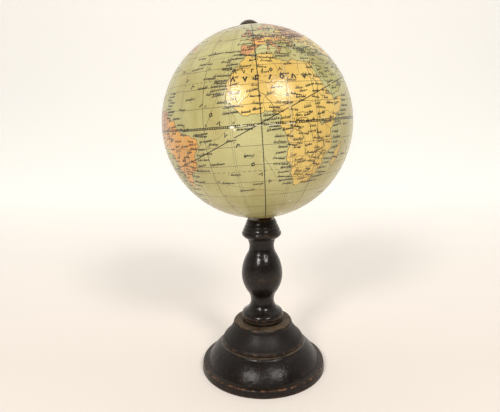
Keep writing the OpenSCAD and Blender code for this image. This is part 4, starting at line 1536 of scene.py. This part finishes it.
def sweep(width, front, back, height, radius):
    """A floor that curves up into a backdrop, in painted light: paler and glowing more behind the object,
    and glowing far in front of it.
    """
    profile = [(-front, 0.0)]
    for i in range(25):
        angle = math.radians(90) * i / 24
        profile.append((back - radius + radius * math.sin(angle), radius - radius * math.cos(angle)))
    profile.append((back, height))
    verts = [(side * width / 2, y, z) for y, z in profile for side in (-1, 1)]
    faces = [(2 * i, 2 * i + 1, 2 * i + 3, 2 * i + 2) for i in range(len(profile) - 1)]
    mesh = bpy.data.meshes.new("floor")
    mesh.from_pydata(verts, [], faces)
    mesh.polygons.foreach_set("use_smooth", [True] * len(faces))
    floor = bpy.data.objects.new("floor", mesh)
    bpy.context.scene.collection.objects.link(floor)
    f = Finish("paper floor with painted light")
    depth = f.node("SeparateXYZ", {"Vector": f.place}, "Y")
    # painted light: the floor's colour grows paler from the object towards the backdrop
    tone = f.mix(f.span(depth, BEHIND_FROM, BEHIND_TO), linear(FLOOR_FRONT), linear(FLOOR_BACK))
    behind = f.span(depth, BEHIND_FROM, BEHIND_TO, GLOW_FRONT, GLOW_BACK)
    ahead = f.span(depth, AHEAD_FROM, AHEAD_TO, GLOW_BACK, GLOW_FRONT)
    glow = f.node("Math", {0: behind, 1: ahead}, operation="MAXIMUM")
    mesh.materials.append(f.show(Base_Color=tone, Roughness=0.9, Emission_Color=linear(FLOOR_BACK),
                                 Emission_Strength=glow))
    return floor


def soft_light(name, azimuth, elevation, size, power):
    """A square lamp that faces the globe; azimuth is measured from the front, positive to the right."""
    lamp = bpy.data.lights.new(name, "AREA")
    lamp.shape = "SQUARE"
    lamp.size = size
    lamp.energy = power
    lamp.color = LAMP_COLOUR
    turn = math.radians(azimuth)
    rise = math.radians(elevation)
    towards = Vector((math.sin(turn) * math.cos(rise), -math.cos(turn) * math.cos(rise), math.sin(rise)))
    light = bpy.data.objects.new(name, lamp)
    light.location = GLOBE_CENTRE + towards * LAMP_DISTANCE
    light.rotation_euler = towards.to_track_quat("Z", "Y").to_euler()
    bpy.context.scene.collection.objects.link(light)
    return light


def surroundings():
    """A room that is bright behind the object. Its front is dim as a light, and bright only to look at."""
    world = bpy.data.worlds.new("room")
    world.use_nodes = True
    tree = world.node_tree
    where = tree.nodes.new("ShaderNodeTexCoord")
    split = tree.nodes.new("ShaderNodeSeparateXYZ")
    tree.links.new(where.outputs["Generated"], split.inputs[0])
    ramp = tree.nodes.new("ShaderNodeMapRange")
    tree.links.new(split.outputs["Y"], ramp.inputs[0])
    for index, value in enumerate((-0.6, 0.6, ROOM_FRONT, ROOM_BACK), 1):
        ramp.inputs[index].default_value = value
    seen = tree.nodes.new("ShaderNodeLightPath").outputs["Is Camera Ray"]
    brighter = tree.nodes.new("ShaderNodeMath")
    brighter.operation = "MAXIMUM"
    tree.links.new(ramp.outputs[0], brighter.inputs[0])
    tree.links.new(seen, brighter.inputs[1])
    background = tree.nodes["Background"]
    background.inputs["Color"].default_value = linear((1.0, 0.985, 0.955))
    tree.links.new(brighter.outputs[0], background.inputs["Strength"])
    bpy.context.scene.world = world


def add_camera(position, yaw, pitch, roll, lens):
    """A camera looking along +Y; yaw turns it to the right, pitch upwards, roll clockwise."""
    data = bpy.data.cameras.new("camera")
    data.sensor_width = 36
    data.lens = lens
    data.clip_start = 0.01
    camera = bpy.data.objects.new("camera", data)
    yaw, pitch, roll = (math.radians(angle) for angle in (yaw, pitch, roll))
    ahead = Vector((math.sin(yaw) * math.cos(pitch), math.cos(yaw) * math.cos(pitch), math.sin(pitch)))
    right = ahead.cross(Vector((0, 0, 1))).normalized()
    up = right.cross(ahead)
    side = math.cos(roll) * right + math.sin(roll) * up
    top = -math.sin(roll) * right + math.cos(roll) * up
    camera.matrix_world = Matrix((
        (side.x, top.x, -ahead.x, position[0]),
        (side.y, top.y, -ahead.y, position[1]),
        (side.z, top.z, -ahead.z, position[2]),
        (0, 0, 0, 1),
    ))
    bpy.context.scene.collection.objects.link(camera)
    bpy.context.scene.camera = camera


floor = sweep(width=10.0, front=5.0, back=1.5, height=2.2, radius=0.9)
lamps = [
    soft_light("left lamp", azimuth=-27, elevation=29.5, size=0.32, power=12),
    soft_light("right lamp", azimuth=31.5, elevation=35.5, size=0.34, power=11),
]
surroundings()
add_camera(position=(0, -0.2854, 0.1655), yaw=-1.48, pitch=-10.44, roll=-1.05, lens=31.56)

scene = bpy.context.scene
scene.view_settings.view_transform = "Standard"
scene.view_settings.exposure = 0.0
